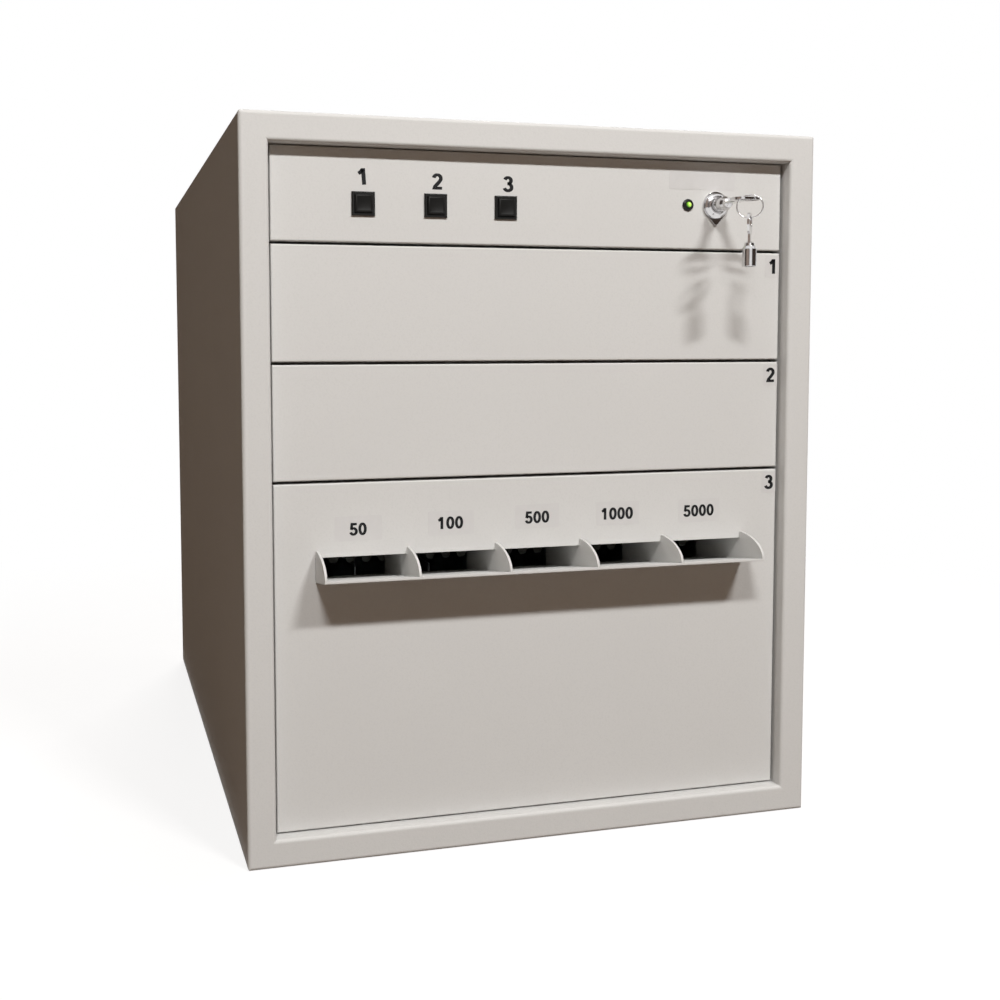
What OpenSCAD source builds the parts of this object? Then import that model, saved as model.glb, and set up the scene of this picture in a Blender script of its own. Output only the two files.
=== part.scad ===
// Time delay safe: a steel cabinet with a control panel and three drawers.
// The origin is the middle of the cabinet's underside.
// +X is to the right as seen from the front, the front faces -Y, and +Z is up.

/* [Cabinet] */
// Width of the cabinet
cab_w = 500; // [460:5:620]
// Height of the cabinet
cab_h = 600; // [570:5:760]
// Depth of the cabinet
cab_d = 700; // [680:5:860]
// Thickness of the body sheet
sheet = 2; // [1.5:0.1:2.5]
// Outer radius of the bends in the body sheet
bend_r = 3; // [2.6:0.1:5]
// Width of the front frame, from the outer side to the aperture
frame_w = 23.2; // [20:0.2:30]
// Depth of the frame's inner return, from its face
return_d = 28; // [22:1:34]
// Width of the flange round the open back
back_flange_w = 16; // [12:1:24]
// Diameter of the floor anchor holes
anchor_d = 12; // [8:0.5:16]
// Distance between the anchor holes across the cabinet
anchor_x = 360; // [300:5:380]
// Distance between the anchor holes along the cabinet
anchor_y = 540; // [480:5:580]

/* [Front panels] */
// Depth of the panels' faces behind the frame's face
set_back = 12; // [6:0.5:16]
// Thickness of the panel sheet
panel_t = 2; // [1.5:0.1:2.5]
// Depth of the folded panels
panel_d = 18; // [14:1:22]
// Radius of the panels' folded edges
panel_r = 1.2; // [0.6:0.1:1.4]
// Height of the control panel
control_h = 74.6; // [70:0.2:90]
// Height of the fronts of drawers 1 and 2
small_front_h = 92.9; // [86:0.1:100]
// Gap between two panels
panel_gap = 2.4; // [2:0.1:4]
// Gap between a panel and the frame at each side
side_gap = 2.3; // [1:0.1:3]
// Gap between the control panel and the frame above it
top_gap = 0.8; // [0.5:0.1:2]
// Gap between drawer 3 and the frame below it
bottom_gap = 1.3; // [0.8:0.1:3]

/* [Drawers] */
// Travel of each drawer
drawer_travel = 500; // [400:10:520]
// Sheet thickness of trays, cash bin and their dividers
tray_t = 1.5; // [1:0.1:2]
// Height of the trays in drawers 1 and 2
tray_h = 62; // [58:1:68]
// Gap between the cash bin's top and the deposit chute
bin_gap = 9.3; // [6:0.1:30]
// Room for the locks behind the trays and the cash bin
lock_room = 112; // [106:1:124]
// Number of lanes in a tray
tray_lanes = 5; // [3:1:7]
// Clearance under a tray
tray_lift = 5; // [3:0.5:8]
// Clearance between the cash bin and the lower flange of drawer 3's front
bin_lift = 2; // [1:0.1:6]

/* [Slides] */
// How far the slides end in front of the trays' back
slide_short = 0; // [0:1:20]
// Height of the outer slide member
slide_h = 45; // [40:1:48]
// Thickness of a whole slide
slide_t = 12.7; // [12:0.1:14]
// Metal thickness of the slide members
slide_metal = 1.2; // [1:0.1:1.4]
// Height of the slides' middle line above the partition or frame bar under them
slide_z = 40; // [36:1:44]
// Gap between the aperture's side and the slide's outer face
slide_inset = 2.8; // [2:0.1:6]

/* [Deposit slots] */
// Number of deposit slots
slot_count = 5; // [3:1:5]
// Distance between two divider plates
slot_pitch = 76; // [70:1:78]
// Thickness of the chute's plates
chute_t = 2; // [1.5:0.1:2.5]
// How far the chute stands out of drawer 3's face
chute_out = 40; // [30:1:50]
// Distance of the chute floor's front edge below drawer 3's upper edge
chute_drop = 72.4; // [70:0.1:84]
// Rise of the divider plates above the floor's front edge
plate_rise = 18; // [14:1:24]
// Height of the slot's upper edge above the floor's front edge
slot_rise = 12.3; // [8:0.1:13]
// Fall of the chute's floor for each millimetre inwards
floor_fall = 0.15; // [0.1:0.01:0.2]
// Depth of the chute inside, from drawer 3's face
chute_in = 81; // [60:1:100]
// Distance between two teeth of the comb
tooth_pitch = 14.6; // [12:0.1:18]
// Width of a comb tooth
tooth_w = 8.6; // [6:0.1:10]
// Length of the comb's teeth
tooth_l = 9; // [7:0.1:11]
// Height of the teeth's tips above the chute's floor
throat_h = 11; // [9:0.1:13]

/* [Controls] */
// Outer side of a button's bezel
button_w = 19; // [17:0.1:22]
// Distance between two buttons
button_pitch = 60; // [50:1:80]
// Place of the first button from the cabinet's left side
button_x = 100; // [80:1:120]
// Height of the buttons above the control panel's lower edge
button_z = 30.6; // [24:0.1:36]
// Depth of a button's housing behind the control panel's face
button_depth = 26; // [22:0.5:30]
// Travel of a button
button_travel = 2.5; // [1.5:0.1:3]
// Place of the indicator from the cabinet's right side
lamp_x = 115; // [108:1:130]
// Diameter of the indicator's holder
lamp_d = 10; // [8:0.1:12]
// Diameter of the indicator's lens
lens_d = 5; // [4:0.1:6]
// Place of the key switch from the cabinet's right side
lock_x = 89; // [80:1:92]
// Height of the indicator and key switch above the control panel's lower edge
lock_z = 37.4; // [30:0.1:42]
// Diameter of the key switch's bezel
bezel_d = 22; // [21:0.1:24]
// Length of the key switch's threaded body behind the control panel's face
lock_l = 30; // [26:0.5:34]
// Diameter of the key switch's threaded body
lock_d = 19; // [18:0.1:19.4]

/* [Keys] */
// Diameter of a key's barrel
barrel_d = 11.8; // [10:0.1:12]
// Diameter of the bore in a key's barrel
key_bore = 7.8; // [6:0.1:8]
// Length of the inserted key's barrel
barrel_l = 20; // [16:0.5:20]
// Length of the tapered shoulder behind a barrel
shoulder_l = 5; // [4:0.1:6]
// Length of the inserted key's neck, from its shoulder to its bow
neck_l = 19.85; // [16:0.05:24]
// Width of a key's neck
neck_w = 7.6; // [6:0.1:8]
// Length of the spare key's barrel
spare_barrel_l = 14.3; // [10:0.1:15]
// Length of the spare key's neck
spare_neck_l = 7.1; // [4:0.1:8]
// Width of a key's bow
bow_w = 25; // [22:0.5:28]
// Length of a key's bow
bow_l = 17; // [17:0.5:20]
// Corner radius of a key's bow
bow_r = 8; // [8:0.1:8.4]
// Thickness of a key's blade
blade_t = 2; // [1.6:0.1:2.4]
// Width of the bar at the end of a key's bow
bar_w = 2.5; // [2:0.1:3]
// Width of the slot in a key's bow
slot_w = 20; // [19.6:0.1:20.4]
// Length of the slot in a key's bow
slot_l = 8.2; // [8:0.1:8.8]
// Corner radius of the slot in a key's bow
slot_r = 2.5; // [2:0.1:2.5]
// Wire diameter of the key ring
wire_d = 1.2; // [1:0.1:1.4]
// Height of the key ring, between the wire's middle lines
ring_h = 18; // [18:0.1:22]
// Length of the ring's straight top and bottom
ring_flat = 3; // [2.6:0.1:5]
// Turn of the ring's plane from the cabinet's face
ring_yaw = -35; // [-40:1:-34]

/* [Lock bolts] */
// Diameter of a lock bolt
bolt_d = 8; // [6:0.1:10]
// Throw of a lock bolt
bolt_throw = 10; // [6:0.5:12]
// Height of the lock bolts above the floor of their bay
bolt_z = 40; // [38:1:46]
// Distance of the strike plates from the cabinet's middle
strike_x = 60; // [20:1:90]

/* [Fastenings] */
// Thread diameter of the screws
screw_d = 4; // [3:0.5:5]
// Diameter of the screws' heads
head_d = 8; // [7:0.5:10]
// Height of the screws' heads
head_h = 2.2; // [1.8:0.1:3]
// Distance of the outer panel screws from the control panel's sides
screw_inset = 30; // [20:1:50]
// Depth of the control panel's lower flange, from its face
lower_flange = 40; // [38:1:60]
// Thread diameter of the cable gland
gland_d = 20; // [16:0.5:22]
// Diameter of the cable gland's bore
gland_bore = 8.5; // [6:0.5:9]
// Place of the cable gland from the cabinet's right side
gland_x = 70; // [60:5:100]
// Place of the cable gland below the cabinet's top
gland_drop = 60; // [50:1:70]

/* [Electronics] */
// Width of the controller board
board_w = 150; // [150:1:160]
// Depth of the controller board
board_d = 100; // [100:1:120]
// Distance of the board's middle behind the cabinet's face
board_y = 160; // [140:1:160]
// Distance between two relays on the board
relay_pitch = 22; // [20:0.5:24]
// Height of the relays
relay_h = 15; // [12:0.5:18]
// Diameter of the capacitors
capacitor_d = 10; // [8:0.5:11]
// Height of the capacitors
capacitor_h = 17; // [12:0.5:20]
// Side of the processor
chip_w = 30; // [24:0.5:32]
// Height of the stand-offs under the controller board
standoff_h = 12; // [6:1:20]
// Width of the power supply
supply_w = 98; // [80:1:110]
// Depth of the power supply
supply_d = 160; // [150:1:200]
// Height of the power supply
supply_h = 42; // [36:1:50]
// Width of the backup battery
battery_w = 151; // [130:1:160]
// Depth of the backup battery
battery_d = 65; // [60:1:100]
// Height of the backup battery, with its terminals
battery_h = 92; // [70:1:92]

/* [Hidden] */
$fn = 48;

PAINT = [0.80, 0.78, 0.75];
ZINC = [0.66, 0.67, 0.69];
CHROME = [0.80, 0.80, 0.82];
BLACK = [0.05, 0.05, 0.06];

// Planes of the cabinet
front_y = -cab_d / 2;
back_y = cab_d / 2;
wall_x = cab_w / 2 - sheet;
aperture_x = cab_w / 2 - frame_w;
face_y = front_y + set_back;
fold_y = face_y + panel_d;
// A hair's gap between faces that meet without being welded
seat = 0.2;
// Radial clearance of a turning or sliding fit
running = 0.05;
// Length that a cutting body reaches past the faces it cuts
past = 1;

// Heights of the panels' edges, from the top down
control_top = cab_h - frame_w - top_gap;
control_low = control_top - control_h;
front_1_top = control_low - panel_gap;
front_1_low = front_1_top - small_front_h;
front_2_top = front_1_low - panel_gap;
front_2_low = front_2_top - small_front_h;
front_3_top = front_2_low - panel_gap;
front_3_low = frame_w + bottom_gap;
FRONT_LOW = [front_1_low, front_2_low, front_3_low];
FRONT_TOP = [front_1_top, front_2_top, front_3_top];
panel_x = aperture_x - side_gap;

// Floors of the three drawer bays: two partitions and the cabinet's floor
GAP_MIDDLE = [control_low - panel_gap / 2, front_1_low - panel_gap / 2, front_2_low - panel_gap / 2];
BAY_FLOOR = [GAP_MIDDLE[1] + sheet / 2, GAP_MIDDLE[2] + sheet / 2, sheet];
partition_y = fold_y + 4;
control_floor = GAP_MIDDLE[0] + sheet / 2;

// Front and back of the trays and of the cash bin
tray_y = face_y + panel_t;
tray_back = back_y - lock_room;

// Level under each bay's slides: the lowest drawer passes over the frame's lower bar
SLIDE_BASE = [BAY_FLOOR[0], BAY_FLOOR[1], frame_w];

// Slides, with their faces counted inwards from the brackets
slide_x = aperture_x - slide_inset;
tray_x = slide_x - slide_t;
slide_y = max(partition_y, front_y + return_d) + 4;
slide_l = tray_back - slide_short - slide_y;
slide_play = 0.4;
middle_s = slide_metal + slide_play;
middle_h = slide_h - 2 * slide_metal - 2 * slide_play;
inner_h = middle_h - 2 * slide_metal - 2 * slide_play;
bracket_margin = 3;
bracket_foot = 10;

// Trays and cash bin
tray_l = tray_back - tray_y;
bin_low = front_3_low + panel_t + bin_lift;
lane_w = 2 * (tray_x - tray_t) / tray_lanes;

// Deposit chute
slots_w = slot_count * slot_pitch;
chute_z = front_3_top - chute_drop;
chute_front_y = face_y - chute_out;
chute_back_y = face_y + chute_in;
slot_top = chute_z + slot_rise;
window_low = floor_z(tray_y) - chute_t - seat;
bin_top = floor_z(chute_back_y) - chute_t - bin_gap;
bin_h = bin_top - bin_low;
comb_t = 1.5;
comb_y = chute_back_y + comb_t;
tooth_tip = floor_z(comb_y) + throat_h;
hood_back = comb_y + comb_t + panel_t;
hood_flange = 16;
hood_lip = 8;

// Controls, seen from the front
lock_at = [cab_w / 2 - lock_x, control_low + lock_z];
lamp_at = [cab_w / 2 - lamp_x, control_low + lock_z];
cap_w = button_w - 4.6;
shaft_w = button_w - 2.6;
bezel_out = 2.2;
cap_out = 4.6;
housing_back = face_y + button_depth;
cap_play = 0.25;

// Key switch along its own axis
plate_out = 2;
bezel_front = face_y - 5.5;
lock_back = face_y + lock_l;
lamp_back = face_y + 12;
plug_r = barrel_d / 2 + 0.2;
plug_face = face_y + 1.5;
pin_r = 2.4;
key_tip = plug_face - 0.3;
neck_r = neck_w / 2;
bow_end = key_tip - barrel_l - shoulder_l - neck_l - bow_l;
cam_t = 2.4;

// Key ring, hung over the bar at the end of the key's bow
ring_play = 0.6;
ring_at = [lock_at[0], bow_end + bar_w / 2];
ring_top = lock_at[1] + blade_t / 2 + wire_d / 2 + ring_play;
ring_low = ring_top - ring_h;
spare_top = ring_low + wire_d / 2 + ring_play / 2 + bar_w;
spare_tip = spare_top - bow_l - spare_neck_l - shoulder_l - spare_barrel_l;

// Screws, gland and electronics
back_margin = sheet + back_flange_w / 2;
back_screw_x = cab_w / 2 - back_margin;
screw_y = fold_y + 14;
gland_at = [cab_w / 2 - gland_x, cab_h - gland_drop];
board_t = 1.6;
board_at = [-70, front_y + board_y];
board_margin = 6;
standoff_d = 7;
supply_at = [120, 20];
vent_w = supply_w * 0.7;
terminals_w = board_w * 2 / 3;
terminals_d = 8;
terminals_h = 10;
battery_at = [-90, 120];
terminal_h = 3;
strap_w = 20;
strap_foot = 14;

// Lock bolts and their solenoids
coil_w = 42;
coil_d = 30;
coil_h = 28;
coil_gap = 1;
coil_r = coil_h / 2 - sheet - coil_gap;
strike_t = 2;
strike_reach = 30;
bolt_y = tray_back + 16;
coil_x = strike_x + strike_t + 4;

// Height of the chute floor's upper side at a given depth
function floor_z(y) = chute_z - floor_fall * (y - chute_front_y);

// Extrudes an outline drawn in X and Z along Y, between two depths
module along_y(y0, y1) {
    translate([0, y1, 0]) rotate([90, 0, 0]) linear_extrude(y1 - y0) children();
}

// Extrudes an outline drawn in Y and Z along X, between two places
module along_x(x0, x1) {
    translate([x0, 0, 0]) rotate([90, 0, 90]) linear_extrude(x1 - x0) children();
}

// Turns an outline of radius against depth round an axis along Y
module turned(at) {
    translate([at[0], 0, at[1]]) rotate([-90, 0, 0]) rotate_extrude() children();
}

// Repeats a left-hand piece on the right-hand side
module both_sides() {
    children();
    mirror([1, 0, 0]) children();
}

// A box between two corners
module block(low, high) {
    translate(low) cube(high - low);
}

// An outline from one corner to the other
module rect(low, high) {
    translate(low) square(high - low);
}

// A rectangle with round corners, centred on the origin
module round_rect(w, h, r) {
    square([w - 2 * r, h], center = true);
    square([w, h - 2 * r], center = true);
    for (x = [-1, 1], y = [-1, 1])
        translate([x * (w / 2 - r), y * (h / 2 - r)]) circle(r);
}

module body_outline(inset, r) {
    translate([0, cab_h / 2]) round_rect(cab_w - 2 * inset, cab_h - 2 * inset, r);
}

module body_rect(inset) {
    translate([0, cab_h / 2]) square([cab_w - 2 * inset, cab_h - 2 * inset], center = true);
}

// Rectangular tube of bent sheet with a flange round its open back
module body_wrap() color(PAINT) difference() {
    along_y(front_y + bend_r, back_y) body_outline(0, bend_r);
    along_y(front_y, back_y - 2 * sheet) body_outline(sheet, bend_r - sheet);
    along_y(front_y, back_y + past) body_outline(sheet + back_flange_w, bend_r);
    along_y(back_y - sheet, back_y + past) body_outline(sheet, bend_r - sheet);
    for (x = [-1, 1], y = [-1, 1])
        translate([x * anchor_x / 2, y * anchor_y / 2, -past])
            cylinder(d = anchor_d, h = sheet + 2 * past);
    back_screw_places() cylinder(d = screw_d + 0.2, h = 4 * sheet, center = true);
}

// Section of the frame: distance inwards from the side, against depth from the face
module frame_section() {
    difference() {
        union() {
            rect([bend_r, 0], [frame_w - bend_r, sheet]);
            rect([frame_w - sheet, bend_r], [frame_w, return_d]);
            translate([bend_r, bend_r]) intersection() {
                circle(bend_r);
                rect([-bend_r, -bend_r], [0, 0]);
            }
            translate([frame_w - bend_r, bend_r]) intersection() {
                circle(bend_r);
                rect([0, -bend_r], [bend_r, 0]);
            }
        }
        translate([bend_r, bend_r]) circle(bend_r - sheet);
        translate([frame_w - bend_r, bend_r]) circle(bend_r - sheet);
    }
}

// One bar of the frame along X, lying on the cabinet's underside, with mitred ends
module frame_bar(length) {
    intersection() {
        translate([-length / 2, front_y, 0]) rotate([90, 0, 90]) mirror([1, -1, 0])
            linear_extrude(length) frame_section();
        along_y(front_y - past, front_y + return_d + past)
            polygon([[-length / 2, 0], [length / 2, 0], [length / 2 - 2 * frame_w, 2 * frame_w],
                [-length / 2 + 2 * frame_w, 2 * frame_w]]);
    }
}

// Four mitred bars, joined by the flat ring that they share
module front_frame() color(PAINT) intersection() {
    union() {
        frame_bar(cab_w);
        translate([0, 0, cab_h]) mirror([0, 0, 1]) frame_bar(cab_w);
        both_sides() translate([-cab_w / 2, 0, cab_h / 2]) rotate([0, 90, 0]) frame_bar(cab_h);
        along_y(front_y, front_y + sheet) difference() {
            body_rect(bend_r);
            body_rect(frame_w - bend_r);
        }
    }
    along_y(front_y - past, front_y + return_d + past) body_outline(0, bend_r);
}

// Places of the back panel's screws, each with its axis along Y at the back face
module back_screw_places() {
    for (x = [-1, 0, 1], z = [0, 1])
        translate([x * back_screw_x, back_y - sheet, z == 0 ? back_margin : cab_h - back_margin])
            rotate([90, 0, 0]) children();
    for (x = [-1, 1])
        translate([x * back_screw_x, back_y - sheet, cab_h / 2]) rotate([90, 0, 0]) children();
}

module back_panel() color(PAINT) difference() {
    along_y(back_y - sheet, back_y) body_outline(sheet + seat, bend_r - sheet);
    back_screw_places() cylinder(d = screw_d + 0.2, h = 4 * sheet, center = true);
    along_y(back_y - 2 * sheet, back_y + past) translate(gland_at) circle(d = gland_d + 0.2);
}

module pan_screw(grip) {
    rotate_extrude() polygon([[0, -grip], [screw_d / 2, -grip], [screw_d / 2, 0],
        [head_d / 2, 0], [head_d / 2, head_h * 0.6], [head_d / 3, head_h], [0, head_h]]);
}

module back_screws() color(ZINC)
    translate([0, sheet, 0]) back_screw_places() mirror([0, 0, 1]) pan_screw(2 * sheet + 2);

// Three welded shelves that close the bays off from one another
module partitions() color(PAINT)
    difference() {
        for (z = GAP_MIDDLE)
            block([-wall_x, partition_y, z - sheet / 2], [wall_x, back_y - 2 * sheet, z + sheet / 2]);
        panel_screw_places() cylinder(d = screw_d + 0.2, h = 6 * sheet, center = true);
    }

// Top-hat rails on the side walls, which bring the slides inside the aperture
module bracket_section() {
    h = slide_h + 2 * bracket_margin;
    rect([slide_x, -h / 2], [slide_x + sheet, h / 2]);
    for (s = [-1, 1]) {
        translate([slide_x, s * (h / 2 - sheet / 2) - sheet / 2]) square([wall_x - slide_x, sheet]);
        translate([wall_x - sheet, s == 1 ? h / 2 - sheet : -h / 2 - bracket_foot + sheet])
            square([sheet, bracket_foot]);
    }
}

module slide_brackets() color(ZINC)
    for (z = SLIDE_BASE)
        translate([0, 0, z + slide_z]) both_sides() along_y(slide_y, slide_y + slide_l) bracket_section();

// Sections of the three slide members, counted inwards from the bracket
module outer_section() {
    rect([0, -slide_h / 2], [slide_metal, slide_h / 2]);
    for (s = [-1, 1])
        translate([0, s * (slide_h - slide_metal) / 2 - slide_metal / 2])
            square([slide_t - 2, slide_metal]);
}

module middle_section() {
    web = (slide_t - slide_metal) / 2;
    rect([web, -middle_h / 2], [web + slide_metal, middle_h / 2]);
    for (s = [-1, 1])
        translate([middle_s, s * (middle_h - slide_metal) / 2 - slide_metal / 2])
            square([slide_t - middle_s - slide_metal - slide_play, slide_metal]);
}

module inner_section() {
    web = slide_t - slide_metal;
    start = (slide_t + slide_metal) / 2 + slide_play;
    rect([web, -inner_h / 2], [slide_t, inner_h / 2]);
    for (s = [-1, 1])
        translate([start, s * (inner_h - slide_metal) / 2 - slide_metal / 2])
            square([slide_t - start, slide_metal]);
}

module slide_pair(bay) {
    translate([0, 0, SLIDE_BASE[bay] + slide_z])
        both_sides() along_y(slide_y, slide_y + slide_l)
            translate([slide_x, 0]) mirror([1, 0]) children();
}

module slides_outer() color(ZINC)
    for (bay = [0 : 2]) slide_pair(bay) outer_section();

module slides_middle(bay) color(ZINC) slide_pair(bay) middle_section();
module slides_inner(bay) color(ZINC) slide_pair(bay) inner_section();
module slides_middle_1() slides_middle(0);
module slides_middle_2() slides_middle(1);
module slides_middle_3() slides_middle(2);
module slides_inner_1() slides_inner(0);
module slides_inner_2() slides_inner(1);
module slides_inner_3() slides_inner(2);

// A folded panel with a face of rounded edges and a flange along each side
module folded_panel(low, high) {
    w = 2 * panel_x;
    difference() {
        intersection() {
            translate([0, face_y + panel_d / 2, low]) linear_extrude(high - low)
                panel_outline(w);
            along_x(-panel_x, panel_x) translate([face_y + panel_d / 2, (low + high) / 2]) rotate(-90)
                panel_outline(high - low);
        }
        block([-panel_x + panel_t, face_y + panel_t, low + panel_t],
            [panel_x - panel_t, fold_y + past, high - panel_t]);
    }
}

// Outline of a panel's depth against its width, with its front corners rounded
module panel_outline(w) {
    round_rect(w, panel_d, panel_r);
    rect([-w / 2, 0], [w / 2, panel_d / 2]);
}

module drawer_front(k) color(PAINT) folded_panel(FRONT_LOW[k], FRONT_TOP[k]);
module drawer_front_1() drawer_front(0);
module drawer_front_2() drawer_front(1);

module drawer_front_3() color(PAINT) difference() {
    folded_panel(front_3_low, front_3_top);
    block([-slots_w / 2 - chute_t / 2 - seat, face_y - past, window_low],
        [slots_w / 2 + chute_t / 2 + seat, tray_y + past, slot_top]);
}

// An open box of sheet between two corners
module sheet_box(low, high) {
    difference() {
        block(low, high);
        block(low + [tray_t, tray_t, tray_t], high + [-tray_t, -tray_t, past]);
    }
}

module tray(k) color(ZINC)
    sheet_box([-tray_x, tray_y, BAY_FLOOR[k] + tray_lift],
        [tray_x, tray_back, BAY_FLOOR[k] + tray_lift + tray_h]);
module tray_1() tray(0);
module tray_2() tray(1);

module tray_dividers(k) color(ZINC)
    for (i = [1 : tray_lanes - 1])
        translate([-tray_x + tray_t / 2 + i * lane_w, tray_y + tray_t, BAY_FLOOR[k] + tray_lift + tray_t])
            divider(tray_l - 2 * tray_t, tray_h - tray_t - 4);
module tray_dividers_1() tray_dividers(0);
module tray_dividers_2() tray_dividers(1);

// An upright divider with a scooped front that leaves room for a hand
module divider(length, height) {
    scoop_r = height * 0.4;
    along_x(0, tray_t) difference() {
        square([length, height]);
        translate([length * 0.25, height]) circle(scoop_r);
    }
}

module cash_bin() color(ZINC)
    sheet_box([-tray_x, tray_y, bin_low], [tray_x, tray_back, bin_top]);

module bin_dividers() color(ZINC)
    for (i = [1 : slot_count - 1])
        translate([-slots_w / 2 + i * slot_pitch - tray_t / 2, tray_y + tray_t, bin_low + tray_t])
            divider(tray_l - 2 * tray_t, bin_h - tray_t - 6);

// Side view of a divider plate: a quarter ellipse outside and a low strip inside
module chute_plate_outline() {
    steps = 20;
    polygon(concat(
        [for (i = [0 : steps])
            [face_y - chute_out * sin(i * 90 / steps), chute_z + plate_rise * cos(i * 90 / steps)]],
        [[chute_front_y, chute_z - chute_t], [chute_back_y, floor_z(chute_back_y) - chute_t],
            [chute_back_y, slot_top - seat], [face_y, slot_top - seat]]));
}

module deposit_chute() color(PAINT) {
    for (i = [0 : slot_count])
        along_x(-slots_w / 2 + i * slot_pitch - chute_t / 2, -slots_w / 2 + i * slot_pitch + chute_t / 2)
            chute_plate_outline();
    along_x(-slots_w / 2 - chute_t / 2, slots_w / 2 + chute_t / 2)
        polygon([[chute_front_y, chute_z], [chute_front_y, chute_z - chute_t],
            [chute_back_y, floor_z(chute_back_y) - chute_t], [chute_back_y, floor_z(chute_back_y)]]);
}

// Folded roof over the throat, with a flange on the panel and a lip for the comb
module throat_hood() color(PAINT)
    along_x(-slots_w / 2 - chute_t / 2, slots_w / 2 + chute_t / 2) {
        rect([tray_y, slot_top], [hood_back, slot_top + panel_t]);
        rect([tray_y, slot_top], [tray_y + panel_t, slot_top + hood_flange]);
        rect([hood_back - panel_t, slot_top - hood_lip], [hood_back, slot_top + panel_t]);
    }

// Comb of round-ended teeth that hangs at the throat's back
module anti_fishing_comb() color([0.9, 0.9, 0.86]) {
    w = slots_w + chute_t;
    reach = floor((w / 2 - tooth_w / 2) / tooth_pitch);
    along_y(comb_y, comb_y + comb_t) {
        rect([-w / 2, tooth_tip + tooth_l], [w / 2, slot_top - seat]);
        for (i = [-reach : reach]) translate([i * tooth_pitch, 0]) {
            rect([-tooth_w / 2, tooth_tip + tooth_w / 2], [tooth_w / 2, tooth_tip + tooth_l + 0.5]);
            translate([0, tooth_tip + tooth_w / 2]) circle(d = tooth_w);
        }
    }
}

// Control panel with its cut-outs and a deeper lower flange on the upper partition
module panel_screw_places() {
    for (x = [-1, 0, 1])
        translate([x * (panel_x - screw_inset), screw_y, control_floor]) children();
}

module control_panel() color(PAINT) difference() {
    union() {
        folded_panel(control_low, control_top);
        block([-panel_x, fold_y - past, control_low],
            [panel_x, face_y + lower_flange, control_low + panel_t]);
    }
    along_y(face_y - past, face_y + panel_t + past) {
        for (i = [0 : 2]) translate(button_at(i)) square(shaft_w + 0.2, center = true);
        translate(lamp_at) circle(d = lamp_d - 2);
        translate(lock_at) circle(d = lock_d + 0.2);
    }
    panel_screw_places() cylinder(d = screw_d + 0.2, h = 6 * sheet, center = true);
}

module panel_screws() color(ZINC)
    translate([0, 0, control_low - control_floor + panel_t]) panel_screw_places() pan_screw(2 * sheet + 3);

function button_at(i) = [button_x - cab_w / 2 + i * button_pitch, control_low + button_z];

// Square push-button: a bezel on the panel and a closed shaft behind it
module button_housings() color(BLACK)
    for (i = [0 : 2]) translate([button_at(i)[0], 0, button_at(i)[1]]) {
        difference() {
            union() {
                raised_square(button_w, face_y - bezel_out, face_y, 0.7);
                along_y(face_y - 0.1, housing_back) square(shaft_w, center = true);
            }
            along_y(face_y - bezel_out - past, housing_back - 3) square(cap_w + 2 * cap_play, center = true);
        }
        for (x = [-4, 4])
            block([x - 0.4, housing_back, -1.4], [x + 0.4, housing_back + 6, 1.4]);
    }

// Square block along Y whose front edges are bevelled
module raised_square(w, y0, y1, bevel) {
    intersection() {
        linear_extrude(w, center = true) bevelled(w, y0, y1, bevel);
        rotate([0, 90, 0]) linear_extrude(w, center = true) bevelled(w, y0, y1, bevel);
    }
}

module bevelled(w, y0, y1, bevel) {
    polygon([[-w / 2, y1], [-w / 2, y0 + bevel], [-w / 2 + bevel, y0], [w / 2 - bevel, y0],
        [w / 2, y0 + bevel], [w / 2, y1]]);
}

module button_cap(i) color(BLACK)
    translate([button_at(i)[0], 0, button_at(i)[1]])
        raised_square(cap_w, face_y - cap_out, housing_back - 3 - button_travel - 1, 0.9);
module button_cap_1() button_cap(0);
module button_cap_2() button_cap(1);
module button_cap_3() button_cap(2);

// Indicator: a flanged holder, a domed lens and a nut behind the panel
module lamp_holder() color(BLACK) turned(lamp_at)
    polygon([[lens_d / 2 + running, lamp_back], [lens_d / 2 + running, face_y - 2],
        [lens_d / 2 + 1, face_y - 2], [lamp_d / 2, face_y - 1], [lamp_d / 2, face_y],
        [lamp_d / 2 - 1.1, face_y], [lamp_d / 2 - 1.1, lamp_back]]);

module lamp_lens() color([0.4, 0.9, 0.1]) {
    turned(lamp_at) intersection() {
        union() {
            rect([0, face_y - 1.6], [lens_d / 2, lamp_back - 1]);
            translate([0, face_y - 1.6]) circle(lens_d / 2);
        }
        rect([0, face_y - 10], [lens_d, lamp_back]);
    }
    for (x = [-1.27, 1.27])
        translate([lamp_at[0] + x, lamp_back - 1.5, lamp_at[1]]) rotate([-90, 0, 0])
            cylinder(d = 0.6, h = 9);
}

module lamp_nut() color(ZINC)
    along_y(face_y + panel_t, face_y + panel_t + 2.5) translate(lamp_at) difference() {
        circle(d = lamp_d + 2, $fn = 6);
        circle(d = lamp_d - 2);
    }

// Pointed plate under the bezel of the key switch
module lock_escutcheon() color(CHROME)
    along_y(face_y - plate_out, face_y) translate(lock_at) difference() {
        union() {
            circle(d = bezel_d + 1.6);
            polygon([[-bezel_d * 0.42, -bezel_d * 0.32], [-1.2, -bezel_d * 0.74], [1.2, -bezel_d * 0.74],
                [bezel_d * 0.42, -bezel_d * 0.32]]);
        }
        circle(d = lock_d + 0.2);
    }

// Key switch: domed bezel and threaded shank in one turning, with a bore for the plug
module lock_body() color(CHROME) turned(lock_at)
    polygon([[plug_r + running, lock_back], [plug_r + running, bezel_front],
        [plug_r + 1.4, bezel_front - 0.6], [plug_r + 2, bezel_front],
        [bezel_d / 2 - 1.4, bezel_front + 0.8],
        [bezel_d / 2, bezel_front + 2], [bezel_d / 2, face_y - plate_out],
        [lock_d / 2, face_y - plate_out], [lock_d / 2, lock_back]]);

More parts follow.
